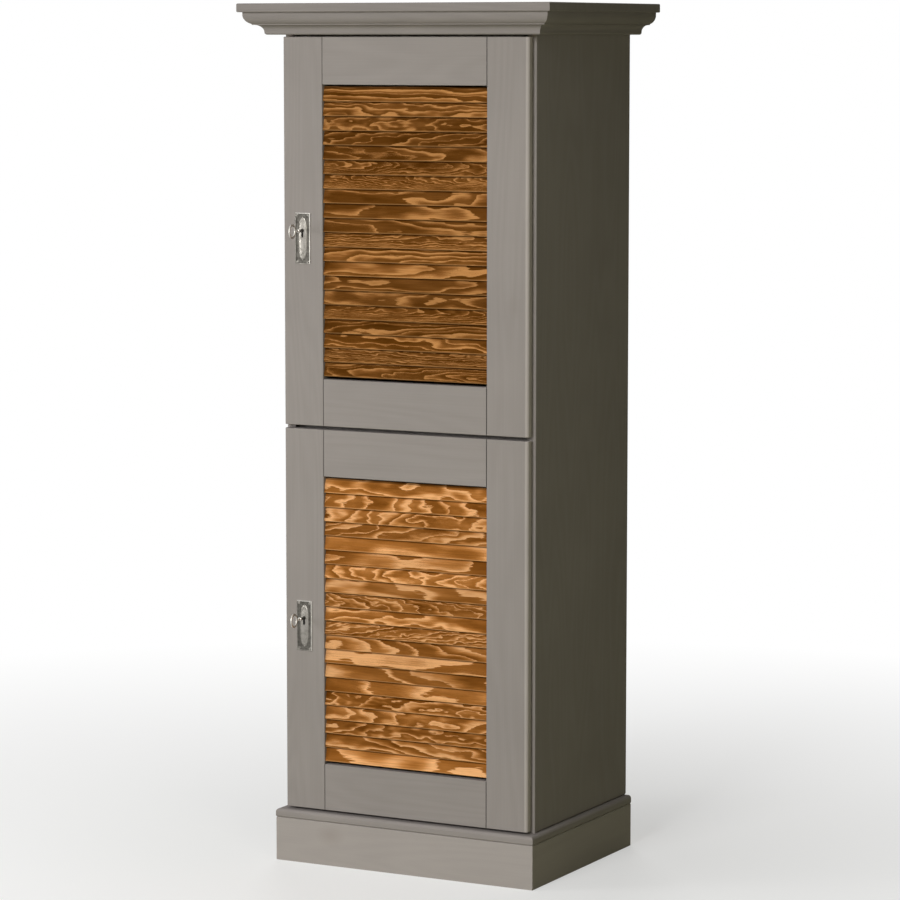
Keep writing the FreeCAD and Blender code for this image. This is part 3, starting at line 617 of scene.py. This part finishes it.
NICKEL = plated_metal("nickel_plate", (0.56, 0.54, 0.50, 1.0), 0.20, 0.36)
ZINC = plated_metal("zinc_plate", (0.50, 0.50, 0.49, 1.0), 0.30, 0.46)
HINGES = [f"{door}_hinge_{piece}" for door in DOORS for piece in ("cups", "pins", "arms", "plates")]
LOCKS = [f"{door}_{piece}" for door in DOORS for piece in ("lock_case", "lock_bolt", "strike")]
SCREWS = ["carcass_screws", "back_panel_screws", "hardware_screws"]
SCREWS += [f"{door}_door_screws" for door in DOORS]
NICKELLED = HINGES + LOCKS + ["shelf_pins"]
dress(NICKEL, NICKELLED)
dress(ZINC, SCREWS)
print("plated nodes:", len(NICKELLED + SCREWS))

# %% [markdown]
# Escutcheons and keys are aged pewter. It is clean where hands rub it and dark in its hollows, so it
# comes in three shades; the pale one is also a painted highlight on the plate's rim, and the dark one
# painted shade in the keyhole. Cloudy stains change its colour and dull its shine.

# %% Aged pewter
STAIN_SCALE = 160.0
STAIN_SPAN = (0.42, 0.68)
STAIN_SMOOTHER = 0.07
STAIN_ROUGHER = 0.14
PIT_SCALE = 900.0
PEWTER_RELIEF = 0.00003


def aged_pewter(name, clean, stained, rough):
    finish, tree, shader = new_finish(name)
    place = object_place(tree)
    stains = noise(tree, place, scale=STAIN_SCALE, detail=5.0, roughness=0.65)
    pits = noise(tree, place, scale=PIT_SCALE)
    colour = mixed(tree, ranged(tree, stains, *STAIN_SPAN, 0.0, 1.0), clean, stained)
    dulled = spread(tree, stains, rough - STAIN_SMOOTHER, rough + STAIN_ROUGHER)
    fill(tree, shader, {"Base Color": colour, "Roughness": dulled, "Metallic": 1.0})
    add_relief(tree, shader, pits, PEWTER_RELIEF)
    return finish


PEWTER = aged_pewter("pewter", (0.26, 0.245, 0.22, 1.0), (0.16, 0.15, 0.13, 1.0), 0.40)
# The dark shade is patina in the plate's sunk field, the dark finish of the key's shank, and painted shade
# on the keyhole's walls.
PEWTER_DARK = aged_pewter("pewter_dark", (0.10, 0.094, 0.082, 1.0), (0.05, 0.046, 0.039, 1.0), 0.50)
# The pale shade is worn pewter on the keys, and a painted highlight on the plate's rim.
PEWTER_WORN_AND_HIGHLIGHT = aged_pewter("pewter_worn_and_highlight", (0.56, 0.54, 0.50, 1.0), (0.40, 0.385, 0.35, 1.0), 0.33)
PINS = [f"{door}_escutcheon_pins" for door in DOORS]
dress(PEWTER, PINS)
print("pewter pins:", ", ".join(PINS))

# %% [markdown]
# Two small dots of rubber on each door take the noise out of shutting it. Rubber is nearly black and
# quite rough, with a fine grain.

# %% Rubber
RUBBER_BLACK = (0.026, 0.025, 0.023, 1.0)
RUBBER_GREY = (0.046, 0.043, 0.040, 1.0)
RUBBER_ROUGH = (0.7, 0.9)
RUBBER_GRAIN = 1500.0
RUBBER_RELIEF = 0.00002


def bumper_rubber():
    finish, tree, shader = new_finish("bumper_rubber")
    grains = noise(tree, object_place(tree), scale=RUBBER_GRAIN)
    colour = mixed(tree, grains, RUBBER_BLACK, RUBBER_GREY)
    fill(tree, shader, {"Base Color": colour, "Roughness": spread(tree, grains, *RUBBER_ROUGH)})
    add_relief(tree, shader, grains, RUBBER_RELIEF)
    return finish


BUMPERS = [f"{door}_bumpers" for door in DOORS]
dress(bumper_rubber(), BUMPERS)
print("rubber nodes:", len(BUMPERS))

# %% [markdown]
# The slats are what one looks at first: stained pine, sawn flat, so that the rings open into
# flames and islands. The stain sinks into the soft spring wood and leaves the hard rings light.
# One picture of grain on all slats would look printed. So every slat is cut from a log of its own:
# each vertex remembers where it lay in that log, and the finish works out the rings from there.

# %% Logs of the slats
LOGS = {
    "upper": {"seed": 7, "ring": (0.0018, 0.0085), "heart": (0.010, 0.060), "lean": 0.070},
    "lower": {"seed": 19, "ring": (0.0020, 0.0150), "heart": (0.030, 0.120), "lean": 0.110},
}
LOG_ASIDE = 0.022
LOG_LENGTH = 6.0


def draw_log(chance, ring, heart, lean):
    """Where one slat lay in its log: ring spacing, way to the heart, and how the log leaned."""
    return {
        "ring": chance.uniform(*ring),
        "heart": chance.uniform(*heart),
        "aside": chance.uniform(-LOG_ASIDE, LOG_ASIDE),
        "lean": chance.uniform(-lean, lean),
        "along": chance.uniform(0.0, LOG_LENGTH),
        "tone": chance.uniform(0.0, 1.0),
    }


print("logs are drawn for the doors:", ", ".join(LOGS))

# %% [markdown]
# A slat starts as a cube, is drawn out to size, and has its four long edges rounded. Its vertices then
# get their places in the log, before it is tilted and set at its height. The twenty slats of a door
# are one piece, and the pitch follows from the box of the CAD slats that they stand for.

# %% Slats
SLAT_COUNT = 20
SLAT_WIDTH = 0.032
SLAT_THICKNESS = 0.0055
SLAT_TILT = math.radians(13.0)
SLAT_ROUND = 0.0020
SLAT_SEGMENTS = 4


def edges_of(verts):
    """Edges at the given vertices, each of them once and always in the same order."""
    return list(dict.fromkeys(edge for vert in verts for edge in vert.link_edges))


def round_off(shape, edges, offset, segments):
    """Bevel edges with a round profile, and give back the bevel's vertices."""
    return bmesh.ops.bevel(
        shape, geom=edges, offset=offset, segments=segments, profile=0.5, affect="EDGES", material=-1
    )["verts"]


def add_slat(board, length, middle, log):
    place = board.verts.layers.float_vector["log_place"]
    tone = board.verts.layers.float["slat_tone"]
    height = board.verts.layers.float["slat_height"]
    cube = bmesh.ops.create_cube(board, size=1.0)["verts"]
    bmesh.ops.scale(board, vec=(length, SLAT_THICKNESS, SLAT_WIDTH), verts=cube)
    long_edges = [edge for edge in edges_of(cube) if edge.calc_length() > length / 2]
    slat = round_off(board, long_edges, SLAT_ROUND, SLAT_SEGMENTS)
    for vert in slat:
        across = vert.co.z + log["aside"]
        inwards = log["heart"] + log["lean"] * vert.co.x + vert.co.y
        vert[place] = Vector((vert.co.x + log["along"], across, inwards)) / log["ring"]
        vert[tone] = log["tone"]
        vert[height] = vert.co.z / SLAT_WIDTH + 0.5
    bmesh.ops.rotate(board, matrix=Matrix.Rotation(-SLAT_TILT, 3, "X"), verts=slat)
    bmesh.ops.translate(board, vec=middle, verts=slat)


def make_slats(door):
    low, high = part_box(door + "_louvres")
    settings = dict(LOGS[door])
    chance = random.Random(settings.pop("seed"))
    board = bmesh.new()
    board.verts.layers.float_vector.new("log_place")
    board.verts.layers.float.new("slat_tone")
    board.verts.layers.float.new("slat_height")
    flat = SLAT_WIDTH / 2 - SLAT_ROUND
    thin = SLAT_THICKNESS / 2 - SLAT_ROUND
    half_rise = flat * math.cos(SLAT_TILT) + thin * math.sin(SLAT_TILT) + SLAT_ROUND
    pitch = (high.z - low.z - 2 * half_rise) / (SLAT_COUNT - 1)
    for count in range(SLAT_COUNT):
        middle = Vector((0.0, (low.y + high.y) / 2, low.z + half_rise + count * pitch))
        add_slat(board, high.x - low.x, middle, draw_log(chance, **settings))
    print(door, "slats, pitch:", round(pitch * 1000, 2), "mm")
    return board


SLATS = {door: make_slats(door) for door in DOORS}

# %% [markdown]
# Every new piece goes through the same last steps: its normals are turned outwards, its mesh is
# shaded smooth except across sharp edges, it gets its finishes, it is hung on the body it moves
# with, and the CAD node that it stands for is hidden.

# %% Turn a bmesh into a piece of the cupboard
SHARP = math.radians(38.0)


def place_piece(shape, name, finishes, body, node):
    bmesh.ops.recalc_face_normals(shape, faces=shape.faces)
    mesh = as_mesh(shape, name)
    mesh.shade_smooth()
    mesh.set_sharp_from_angle(angle=SHARP)
    for finish in finishes:
        mesh.materials.append(finish)
    piece = show(name, mesh)
    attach(piece, body)
    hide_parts(node)
    print(name, "faces:", len(mesh.polygons))


print("pieces are placed by place_piece")

# %% [markdown]
# The distance to the heart of the log counts the rings. In a real tree they aren't true circles, so
# three noises bend the count: one along the whole slat, one in waves, and one that frays the lines.
# The part after the decimal point says how far through its ring a spot lies, and the whole number
# lets each ring draw its own luck.

# %% Rings of a log
RING_BENDS = (
    {"scale": (0.018, 0.06, 0.06), "detail": 1.0, "reach": 2.2},
    {"scale": (0.080, 0.25, 0.25), "detail": 1.0, "reach": 1.1},
    {"scale": (0.140, 3.6, 3.6), "detail": 3.0, "reach": 0.24},
)
BEND_ROUGHNESS = 0.6


def ring_count(tree, place):
    """Number of rings from the heart of the log, with its whole part and its fraction."""
    flat = stretched(tree, place, (0.0, 1.0, 1.0))
    rings = put(tree, "VectorMath", {0: flat}, operation="LENGTH").outputs["Value"]
    for bend_by in RING_BENDS:
        bend_place = stretched(tree, place, bend_by["scale"])
        bend = noise(tree, bend_place, detail=bend_by["detail"], roughness=BEND_ROUGHNESS)
        reach = bend_by["reach"]
        rings = added(tree, rings, ranged(tree, bend, 0.0, 1.0, -reach, reach))
    return rings


def drawn(tree, number):
    """A lot from 0 to 1 that is the same wherever the number is the same."""
    return put(tree, "TexWhiteNoise", {"W": number}, noise_dimensions="1D").outputs["Value"]


def stepped_colour(tree, share, steps):
    """Colour ramp through the given steps of position and colour."""
    ramp = put(tree, "ValToRGB", {0: share})
    while len(ramp.color_ramp.elements) < len(steps):
        ramp.color_ramp.elements.new(0.5)
    for stop, (position, colour) in zip(ramp.color_ramp.elements, steps):
        stop.position = position
        stop.color = (*colour, 1.0)
    return ramp.outputs[0]


print("bends of the rings:", len(RING_BENDS))

# %% [markdown]
# The stain's colours come from the rings. The soft spring wood at a ring's start is dark, the hard
# late wood at its end is light, and the next ring starts with a sharp step back to dark. Each ring
# draws where its late wood sets in, so that a ring which is cut flat opens into a broad patch with
# frayed ends. The upper door is darker.

# %% Colours of the stain
STAINS = {
    "upper": {
        "steps": (
            (0.00, (0.068, 0.022, 0.002)),
            (0.22, (0.114, 0.040, 0.006)),
            (0.40, (0.159, 0.060, 0.012)),
            (0.58, (0.246, 0.097, 0.024)),
            (0.80, (0.482, 0.225, 0.074)),
        ),
        # Pale colour of the painted highlight on each slat's lower edge.
        "line": (0.564, 0.297, 0.116, 1.0),
    },
    "lower": {
        "steps": (
            (0.00, (0.135, 0.040, 0.003)),
            (0.20, (0.227, 0.079, 0.013)),
            (0.38, (0.328, 0.123, 0.026)),
            (0.56, (0.502, 0.211, 0.061)),
            (0.78, (0.801, 0.418, 0.184)),
        ),
        # Pale colour of the painted highlight on each slat's lower edge.
        "line": (0.888, 0.484, 0.213, 1.0),
    },
}
LATE_WOOD_FROM = (0.10, 0.80)
LATE_WOOD_STEP = 0.96


def late_wood(tree, through, number):
    """Share of hard wood at a spot: it grows through the ring, and ends in a step."""
    sets_in = ranged(tree, drawn(tree, number), 0.0, 1.0, *LATE_WOOD_FROM)
    grows = ranged(tree, through, sets_in, LATE_WOOD_STEP, 0.0, 1.0)
    return times(tree, grows, ranged(tree, through, LATE_WOOD_STEP, 1.0, 1.0, 0.0))


print("steps of the stain:", {door: len(stain["steps"]) for door, stain in STAINS.items()})

# %% [markdown]
# The finish puts this together. How much light wood shows depends on the late wood, on the ring's own
# lot and on broad blotches, and it picks the colour. Fibres and the slat's own tone then make that
# colour lighter or darker. Along its upper edge, under the slat above, each slat gets a painted
# shadow, and its lower edge a painted highlight. Like the paint, it has no gloss.

# %% Stained pine
SLAT_HIGHLIGHT_EDGE = 0.075
SLAT_HIGHLIGHT_SHARE = 0.55
SLAT_SHADOW_START = 0.80
SLAT_SHADOW_END = 0.90
SLAT_SHADOW_DARK = 0.30
LATE_WOOD_DEPTH = 0.58
RING_DEPTH = 0.26
BLOTCH_DEPTH = 0.30
BLOTCHES = (0.06, 0.30, 0.30)
FIBRES = (0.10, 6.0, 6.0)
FIBRE_SPAN = (0.28, 0.72)
FIBRE_TONES = (0.82, 1.16)
SLAT_TONES = (0.81, 1.11)
SLAT_ROUGH = (0.66, 0.54)
SLAT_RELIEF = 0.00015
LATE_WOOD_RISE = 0.7
FIBRE_RISE = 0.5
TONE_TO_NUMBER = 97.0
SECOND_LOT = 0.5


def vertex_value(tree, name, output):
    return put(tree, "Attribute", attribute_name=name).outputs[output]


def stained_pine(door, steps, line):
    finish, tree, shader = new_finish("stained_pine_" + door)
    place = vertex_value(tree, "log_place", "Vector")
    tone = vertex_value(tree, "slat_tone", "Fac")
    height = vertex_value(tree, "slat_height", "Fac")
    rings = ring_count(tree, place)
    number = added(tree, worked(tree, "FLOOR", rings), times(tree, tone, TONE_TO_NUMBER))
    late = late_wood(tree, worked(tree, "FRACT", rings), number)
    blotch = noise(tree, stretched(tree, place, BLOTCHES))
    fibre = noise(tree, stretched(tree, place, FIBRES), detail=3.0, roughness=0.65)
    own = times(tree, drawn(tree, added(tree, number, SECOND_LOT)), RING_DEPTH)
    depth = added(tree, own, spread(tree, blotch, 0.0, BLOTCH_DEPTH))
    depth = added(tree, depth, times(tree, late, LATE_WOOD_DEPTH))
    # Painted highlight: the lower edge of each slat is mixed towards the pale line colour, where light
    # would catch it.
    lower_edge_highlight = ranged(tree, height, 0.0, SLAT_HIGHLIGHT_EDGE, SLAT_HIGHLIGHT_SHARE, 0.0)
    colour = mixed(tree, lower_edge_highlight, stepped_colour(tree, depth, steps), line)
    value = ranged(tree, fibre, *FIBRE_SPAN, *FIBRE_TONES)
    value = times(tree, value, ranged(tree, tone, 0.0, 1.0, *SLAT_TONES))
    # Painted shadow: each slat is darkened along its upper edge, where the slat above shades it.
    value = times(tree, value, ranged(tree, height, SLAT_SHADOW_START, SLAT_SHADOW_END, 1.0, SLAT_SHADOW_DARK))
    colour = shaded(tree, colour, value)
    rough = ranged(tree, late, 0.0, 1.0, *SLAT_ROUGH)
    fill(tree, shader, {"Base Color": colour, "Roughness": rough, "Specular IOR Level": NO_GLOSS})
    relief = added(tree, times(tree, late, LATE_WOOD_RISE), times(tree, fibre, FIBRE_RISE))
    add_relief(tree, shader, relief, SLAT_RELIEF)
    return finish


for door in DOORS:
    stain = stained_pine(door, **STAINS[door])
    place_piece(SLATS[door], door + "_slats", [stain], door + "_door", door + "_louvres")

# %% [markdown]
# The escutcheon is a cast plate: a raised rim, a sunk field that has gone dark, and a tall oval boss
# with a groove round it. A cube makes the plate, and insets with a little depth make rim and field.
# The rim gets a painted highlight along the top and the right, away from the key, and is dull elsewhere.

# %% Plate of an escutcheon
RIM_STEPS = ((0.0005, 0.0005), (0.0011, 0.0), (0.0006, -0.0013))
PLATE_START = 0.0019
PLATE_CORNER = 0.0004
PLATE_SEGMENTS = 2
RIM_HIGHLIGHT_FROM = 0.42
DULL = 0
DARK = 1
RIM_HIGHLIGHT = 2


def make_plate(width, height):
    plate = bmesh.new()
    bmesh.ops.create_cube(plate, size=1.0)
    bmesh.ops.scale(plate, vec=(width, PLATE_START, height), verts=plate.verts)
    bmesh.ops.translate(plate, vec=(0.0, -PLATE_START / 2, 0.0), verts=plate.verts)
    corners = [edge for edge in plate.edges if edge.calc_length() < 2 * PLATE_START]
    front = min(plate.faces, key=lambda face: face.calc_center_median().y)
    for thickness, depth in RIM_STEPS:
        bmesh.ops.inset_region(plate, faces=[front], thickness=thickness, depth=depth, use_even_offset=True)
    for face in plate.faces:
        middle = face.calc_center_median()
        # Painted highlight: rim faces towards the top and the right get the pale finish, as if lit.
        painted_highlight = middle.x > RIM_HIGHLIGHT_FROM * width or middle.z > RIM_HIGHLIGHT_FROM * height
        face.material_index = RIM_HIGHLIGHT if painted_highlight else DULL
    front.material_index = DARK
    round_off(plate, corners, PLATE_CORNER, PLATE_SEGMENTS)
    return plate


print("rim rises to:", round((PLATE_START + RIM_STEPS[0][1]) * 1000, 2), "mm")

# %% [markdown]
# The boss starts as a circle, drawn out to an oval with full, blunt ends. It is built up in steps that
# rise and draw in, and one step that sinks makes the groove.

# %% Boss of an escutcheon
BOSS_SIZE = (0.0210, 0.0860)
BOSS_FULLNESS = 0.77
BOSS_STEPS = (
    (0.95, 0.0007),
    (0.89, 0.0003),
    (0.83, -0.0004),
    (0.76, 0.0004),
    (0.58, 0.0005),
    (0.34, 0.0003),
)
FIELD = 0.0011
TIP_FORWARD = Matrix.Rotation(math.radians(90), 3, "X")


def step_up(shape, cap, share, rise):
    """Extrude the cap of an oval forward by rise, and draw it in to share of the whole oval."""
    made = bmesh.ops.extrude_face_region(shape, geom=[cap])["geom"]
    ring = [item for item in made if isinstance(item, bmesh.types.BMVert)]
    half_width = max(vert.co.x for vert in ring)
    draw_in = share * BOSS_SIZE[0] / 2 / half_width
    bmesh.ops.scale(shape, vec=(draw_in, 1.0, draw_in), verts=ring)
    bmesh.ops.translate(shape, vec=(0.0, -rise, 0.0), verts=ring)
    return next(item for item in made if isinstance(item, bmesh.types.BMFace))


def make_boss():
    boss = bmesh.new()
    bmesh.ops.create_circle(boss, cap_ends=True, segments=72, radius=0.5)
    for vert in boss.verts:
        vert.co = [math.copysign(abs(2 * part) ** BOSS_FULLNESS / 2, part) for part in vert.co]
    bmesh.ops.rotate(boss, matrix=TIP_FORWARD, verts=boss.verts)
    bmesh.ops.scale(boss, vec=(BOSS_SIZE[0], 1.0, BOSS_SIZE[1]), verts=boss.verts)
    boss.faces.ensure_lookup_table()
    cap = step_up(boss, boss.faces[0], 1.0, FIELD)
    for share, rise in BOSS_STEPS:
        covered = cap
        cap = step_up(boss, covered, share, rise)
        boss.faces.remove(covered)
    bmesh.ops.recalc_face_normals(boss, faces=boss.faces)
    return boss


sample = make_boss()
boss_depth = -min(vert.co.y for vert in sample.verts)
print("boss faces:", len(sample.faces), "depth:", round(boss_depth * 1000, 2), "mm")
sample.free()

# %% [markdown]
# The keyhole is a real hole, so that the dark inside the lock shows through it from any side. A
# Boolean modifier cuts it: first the round part, then the slot below. The modifier merges points
# that lie too close, and on a plate a millimetre thick that eats the rim. So the cut is made at a
# thousand times the size. A drill and a saw blade are the two cutters.

# %% Cutters for the keyhole
KEYHOLE_RADIUS = 0.0038
KEYHOLE_SLOT = 0.0042
KEYHOLE_DROP = 0.0140
CUT_DEPTH = 0.02
CUT_SCALE = 1000.0


def resize(shape, factor):
    bmesh.ops.scale(shape, vec=(factor, factor, factor), verts=shape.verts)


def as_object(shape, name):
    """A scratch object for the cut, at the cut's size."""
    resize(shape, CUT_SCALE)
    return show(name, as_mesh(shape, name))


def round_cutter(rise):
    drill = bmesh.new()
    ends = {"radius1": KEYHOLE_RADIUS, "radius2": KEYHOLE_RADIUS}
    bmesh.ops.create_cone(drill, cap_ends=True, segments=32, depth=CUT_DEPTH, **ends)
    bmesh.ops.rotate(drill, matrix=TIP_FORWARD, verts=drill.verts)
    bmesh.ops.translate(drill, vec=(0.0, 0.0, rise), verts=drill.verts)
    return drill


def slot_cutter(rise):
    saw = bmesh.new()
    bmesh.ops.create_cube(saw, size=1.0)
    bmesh.ops.scale(saw, vec=(KEYHOLE_SLOT, CUT_DEPTH, KEYHOLE_DROP), verts=saw.verts)
    bmesh.ops.translate(saw, vec=(0.0, 0.0, rise - KEYHOLE_DROP / 2), verts=saw.verts)
    return saw


print("keyhole:", 2 * KEYHOLE_RADIUS * 1000, "mm wide")

# %% [markdown]
# Each cut is read back as a plain mesh, and the result is shrunk to its real size. The walls of the
# hole get the dark finish as painted shade inside the hole. They are the faces near the keyhole's axis
# that look neither forwards nor backwards.

# %% Cut the keyhole
KEYHOLE_RISE = 0.016
WALL_FACING = 0.1
WALL_MARGIN = 1.01


def paint_hole_shade(shape, rise):
    """Give the walls of the keyhole the dark finish, as painted shade."""
    shape.normal_update()
    beside = WALL_MARGIN * KEYHOLE_RADIUS
    below = -WALL_MARGIN * KEYHOLE_DROP
    for face in shape.faces:
        middle = face.calc_center_median()
        in_hole = abs(middle.x) < beside and below < middle.z - rise < beside
        if in_hole and abs(face.normal.y) < WALL_FACING:
            face.material_index = DARK


def drilled(shape, rise):
    """The shape with the keyhole cut through it, rise above its middle."""
    blank = as_object(shape, "blank")
    for cutter in (as_object(round_cutter(rise), "drill"), as_object(slot_cutter(rise), "saw")):
        cut = blank.modifiers.new("cut", "BOOLEAN")
        cut.operation = "DIFFERENCE"
        cut.solver = "EXACT"
        cut.object = cutter
        ready = blank.evaluated_get(bpy.context.evaluated_depsgraph_get())
        mesh = bpy.data.meshes.new_from_object(ready)
        blank.modifiers.clear()
        blank.data = mesh
        bpy.data.objects.remove(cutter)
    result = bmesh.new()
    result.from_mesh(blank.data)
    resize(result, 1 / CUT_SCALE)
    bpy.data.objects.remove(blank)
    paint_hole_shade(result, rise)
    return result


print("keyhole lies", KEYHOLE_RISE * 1000, "mm above the middle of the plate")

# %% [markdown]
# Small ornaments finish the casting: a ring round each nail head in the corners, and a pearl under
# and over the tips of the boss. A ring is a small circle spun about its middle. A pearl is a
# sphere pressed flat.

# %% Ornaments of an escutcheon
RING_RADIUS = 0.0027
RING_WIRE = 0.0006
RING_STEPS = 20
PEARL = (0.0015, 0.0010, 0.0015)
PEARL_OFF_TIP = 0.3
PIN_INSET = 0.0046


def sweep(shape, outline, middle, axis, steps):
    """Spin vertices and edges once round an axis, and merge where the end meets the start."""
    turn = 2 * math.pi
    bmesh.ops.spin(shape, geom=outline, cent=middle, axis=axis, angle=turn, steps=steps, use_merge=True)


def add_ring(shape, x, z):
    wire = bmesh.ops.create_circle(shape, segments=8, radius=RING_WIRE)["verts"]
    bmesh.ops.translate(shape, vec=(x + RING_RADIUS, -FIELD, z), verts=wire)
    sweep(shape, wire + edges_of(wire), (x, -FIELD, z), (0.0, 1.0, 0.0), RING_STEPS)


def add_pearl(shape, z):
    ball = bmesh.ops.create_uvsphere(shape, u_segments=14, v_segments=8, radius=1.0)["verts"]
    bmesh.ops.scale(shape, vec=PEARL, verts=ball)
    bmesh.ops.translate(shape, vec=(0.0, -FIELD, z), verts=ball)


def make_ornaments(width, height):
    trim = bmesh.new()
    for side in (-1, 1):
        for end in (-1, 1):
            add_ring(trim, side * (width / 2 - PIN_INSET), end * (height / 2 - PIN_INSET))
        add_pearl(trim, side * (BOSS_SIZE[1] / 2 + PEARL[2] * PEARL_OFF_TIP))
    bmesh.ops.recalc_face_normals(trim, faces=trim.faces)
    return trim


print("rings:", 2 * RING_RADIUS * 1000, "mm wide")

# %% [markdown]
# Plate, boss and ornaments are closed shells of their own. They become one piece for each door, which
# is set in the middle of the CAD plate that it stands for.

# %% Escutcheons


def joined(shapes):
    """One bmesh that holds several closed shells."""
    whole = bmesh.new()
    for shape in shapes:
        mesh = as_mesh(shape, "shell")
        whole.from_mesh(mesh)
        bpy.data.meshes.remove(mesh)
    return whole


for door in DOORS:
    low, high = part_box(door + "_escutcheon")
    size = high - low
    middle = Vector(((low.x + high.x) / 2, high.y, (low.z + high.z) / 2))
    plate = drilled(make_plate(size.x, size.z), KEYHOLE_RISE)
    boss = drilled(make_boss(), KEYHOLE_RISE)
    whole = joined([plate, boss, make_ornaments(size.x, size.z)])
    bmesh.ops.translate(whole, vec=middle, verts=whole.verts)
    finishes = [PEWTER, PEWTER_DARK, PEWTER_WORN_AND_HIGHLIGHT]
    place_piece(whole, door + "_lock_plate", finishes, door + "_door", door + "_escutcheon")

# %% [markdown]
# The key has a turned shank with collars, an oval bow to hold, and a bit that works the bolt. Turned
# work is what Spin is for: half the outline is drawn once, from the bow to the tip, and swept round
# the key's axis. Hands keep the collars bright, and the shank beyond them gets the dark finish.

# %% Shank of a key
SHANK_OUTLINE = (
    (0.0000, 0.0000), (0.0016, 0.0003), (0.0030, 0.0020), (0.0034, 0.0036), (0.0028, 0.0052),
    (0.0022, 0.0060), (0.0022, 0.0090), (0.0036, 0.0096), (0.0042, 0.0110), (0.0042, 0.0124),
    (0.0036, 0.0138), (0.0030, 0.0144), (0.0030, 0.0600), (0.0024, 0.0606), (0.0000, 0.0606),
)
SHANK_STEPS = 28
COLLARS_END = 0.0142
HELD = 0
SAME_POINT = 1e-6
MIDDLE = (0.0, 0.0, 0.0)


def make_shank(length):
    """Turned shank along +Y from the origin; its last points lie at length."""
    shank = bmesh.new()
    outlined = SHANK_OUTLINE[-1][1]
    longer = length - outlined
    outline = [(radius, y if y < outlined / 2 else y + longer) for radius, y in SHANK_OUTLINE]
    points = [shank.verts.new((radius, y, 0.0)) for radius, y in outline]
    lines = [shank.edges.new(pair) for pair in zip(points, points[1:])]
    sweep(shank, points + lines, MIDDLE, (0.0, 1.0, 0.0), SHANK_STEPS)
    bmesh.ops.remove_doubles(shank, verts=shank.verts, dist=SAME_POINT)
    bmesh.ops.recalc_face_normals(shank, faces=shank.faces)
    for face in shank.faces:
        face.material_index = DARK if face.calc_center_median().y > COLLARS_END else HELD
    return shank


print("points of the shank's outline:", len(SHANK_OUTLINE))

# %% [markdown]
# The bow is a small oval wire swept round the bow's middle and then narrowed. The bit is a flag of
# three blocks, the middle one shorter, as if a ward of the lock had to pass there.

# %% Bow and bit of a key
BOW_HEIGHT = 0.031
BOW_DEPTH = 0.027
BOW_WIRE = (0.0018, 0.0025)
BOW_STEPS = 56
BIT = (0.0024, 0.0050, 0.0105)
BIT_TEETH = ((0.0, 0.30, 1.0), (0.30, 0.40, 0.72), (0.70, 0.30, 1.0))


def make_bow():
    """Oval ring in the upright plane, its back at the origin and its front at -Y."""
    bow = bmesh.new()
    wire = bmesh.ops.create_circle(bow, segments=14, radius=1.0)["verts"]
    bmesh.ops.scale(bow, vec=(BOW_WIRE[0], BOW_WIRE[1], 1.0), verts=wire)
    bmesh.ops.translate(bow, vec=(0.0, BOW_HEIGHT / 2 - BOW_WIRE[1], 0.0), verts=wire)
    sweep(bow, wire + list(bow.edges), MIDDLE, (1.0, 0.0, 0.0), BOW_STEPS)
    bmesh.ops.scale(bow, vec=(1.0, BOW_DEPTH / BOW_HEIGHT, 1.0), verts=bow.verts)
    bmesh.ops.translate(bow, vec=(0.0, -BOW_DEPTH / 2, 0.0), verts=bow.verts)
    bmesh.ops.recalc_face_normals(bow, faces=bow.faces)
    return bow


def make_bit(length):
    """Flag at the end of the shank, with a cut in its edge for a ward of the lock."""
    bit = bmesh.new()
    for start, share, drop in BIT_TEETH:
        tooth = bmesh.ops.create_cube(bit, size=1.0)["verts"]
        bmesh.ops.scale(bit, vec=(BIT[0], BIT[1] * share, BIT[2] * drop), verts=tooth)
        back = length - BIT[1] * (start + share / 2)
        bmesh.ops.translate(bit, vec=(0.0, back, -BIT[2] * drop / 2), verts=tooth)
    return bit


print("bow:", BOW_HEIGHT * 1000, "mm high")

# %% [markdown]
# The three parts of a key are joined and set on the axis of the CAD key. The shank is as long as that
# key asks for, and starts a little inside the wire of the bow.

# %% Keys
BOW_OVERLAP = 0.0012

for door in DOORS:
    low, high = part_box(door + "_key")
    axis_z = high.z - BOW_HEIGHT / 2
    neck = Vector(((low.x + high.x) / 2, low.y + BOW_DEPTH - BOW_OVERLAP, axis_z))
    length = high.y - neck.y
    key = joined([make_shank(length), make_bow(), make_bit(length)])
    bmesh.ops.translate(key, vec=neck, verts=key.verts)
    finishes = [PEWTER_WORN_AND_HIGHLIGHT, PEWTER_DARK]
    place_piece(key, door + "_pewter_key", finishes, door + "_key", door + "_key")
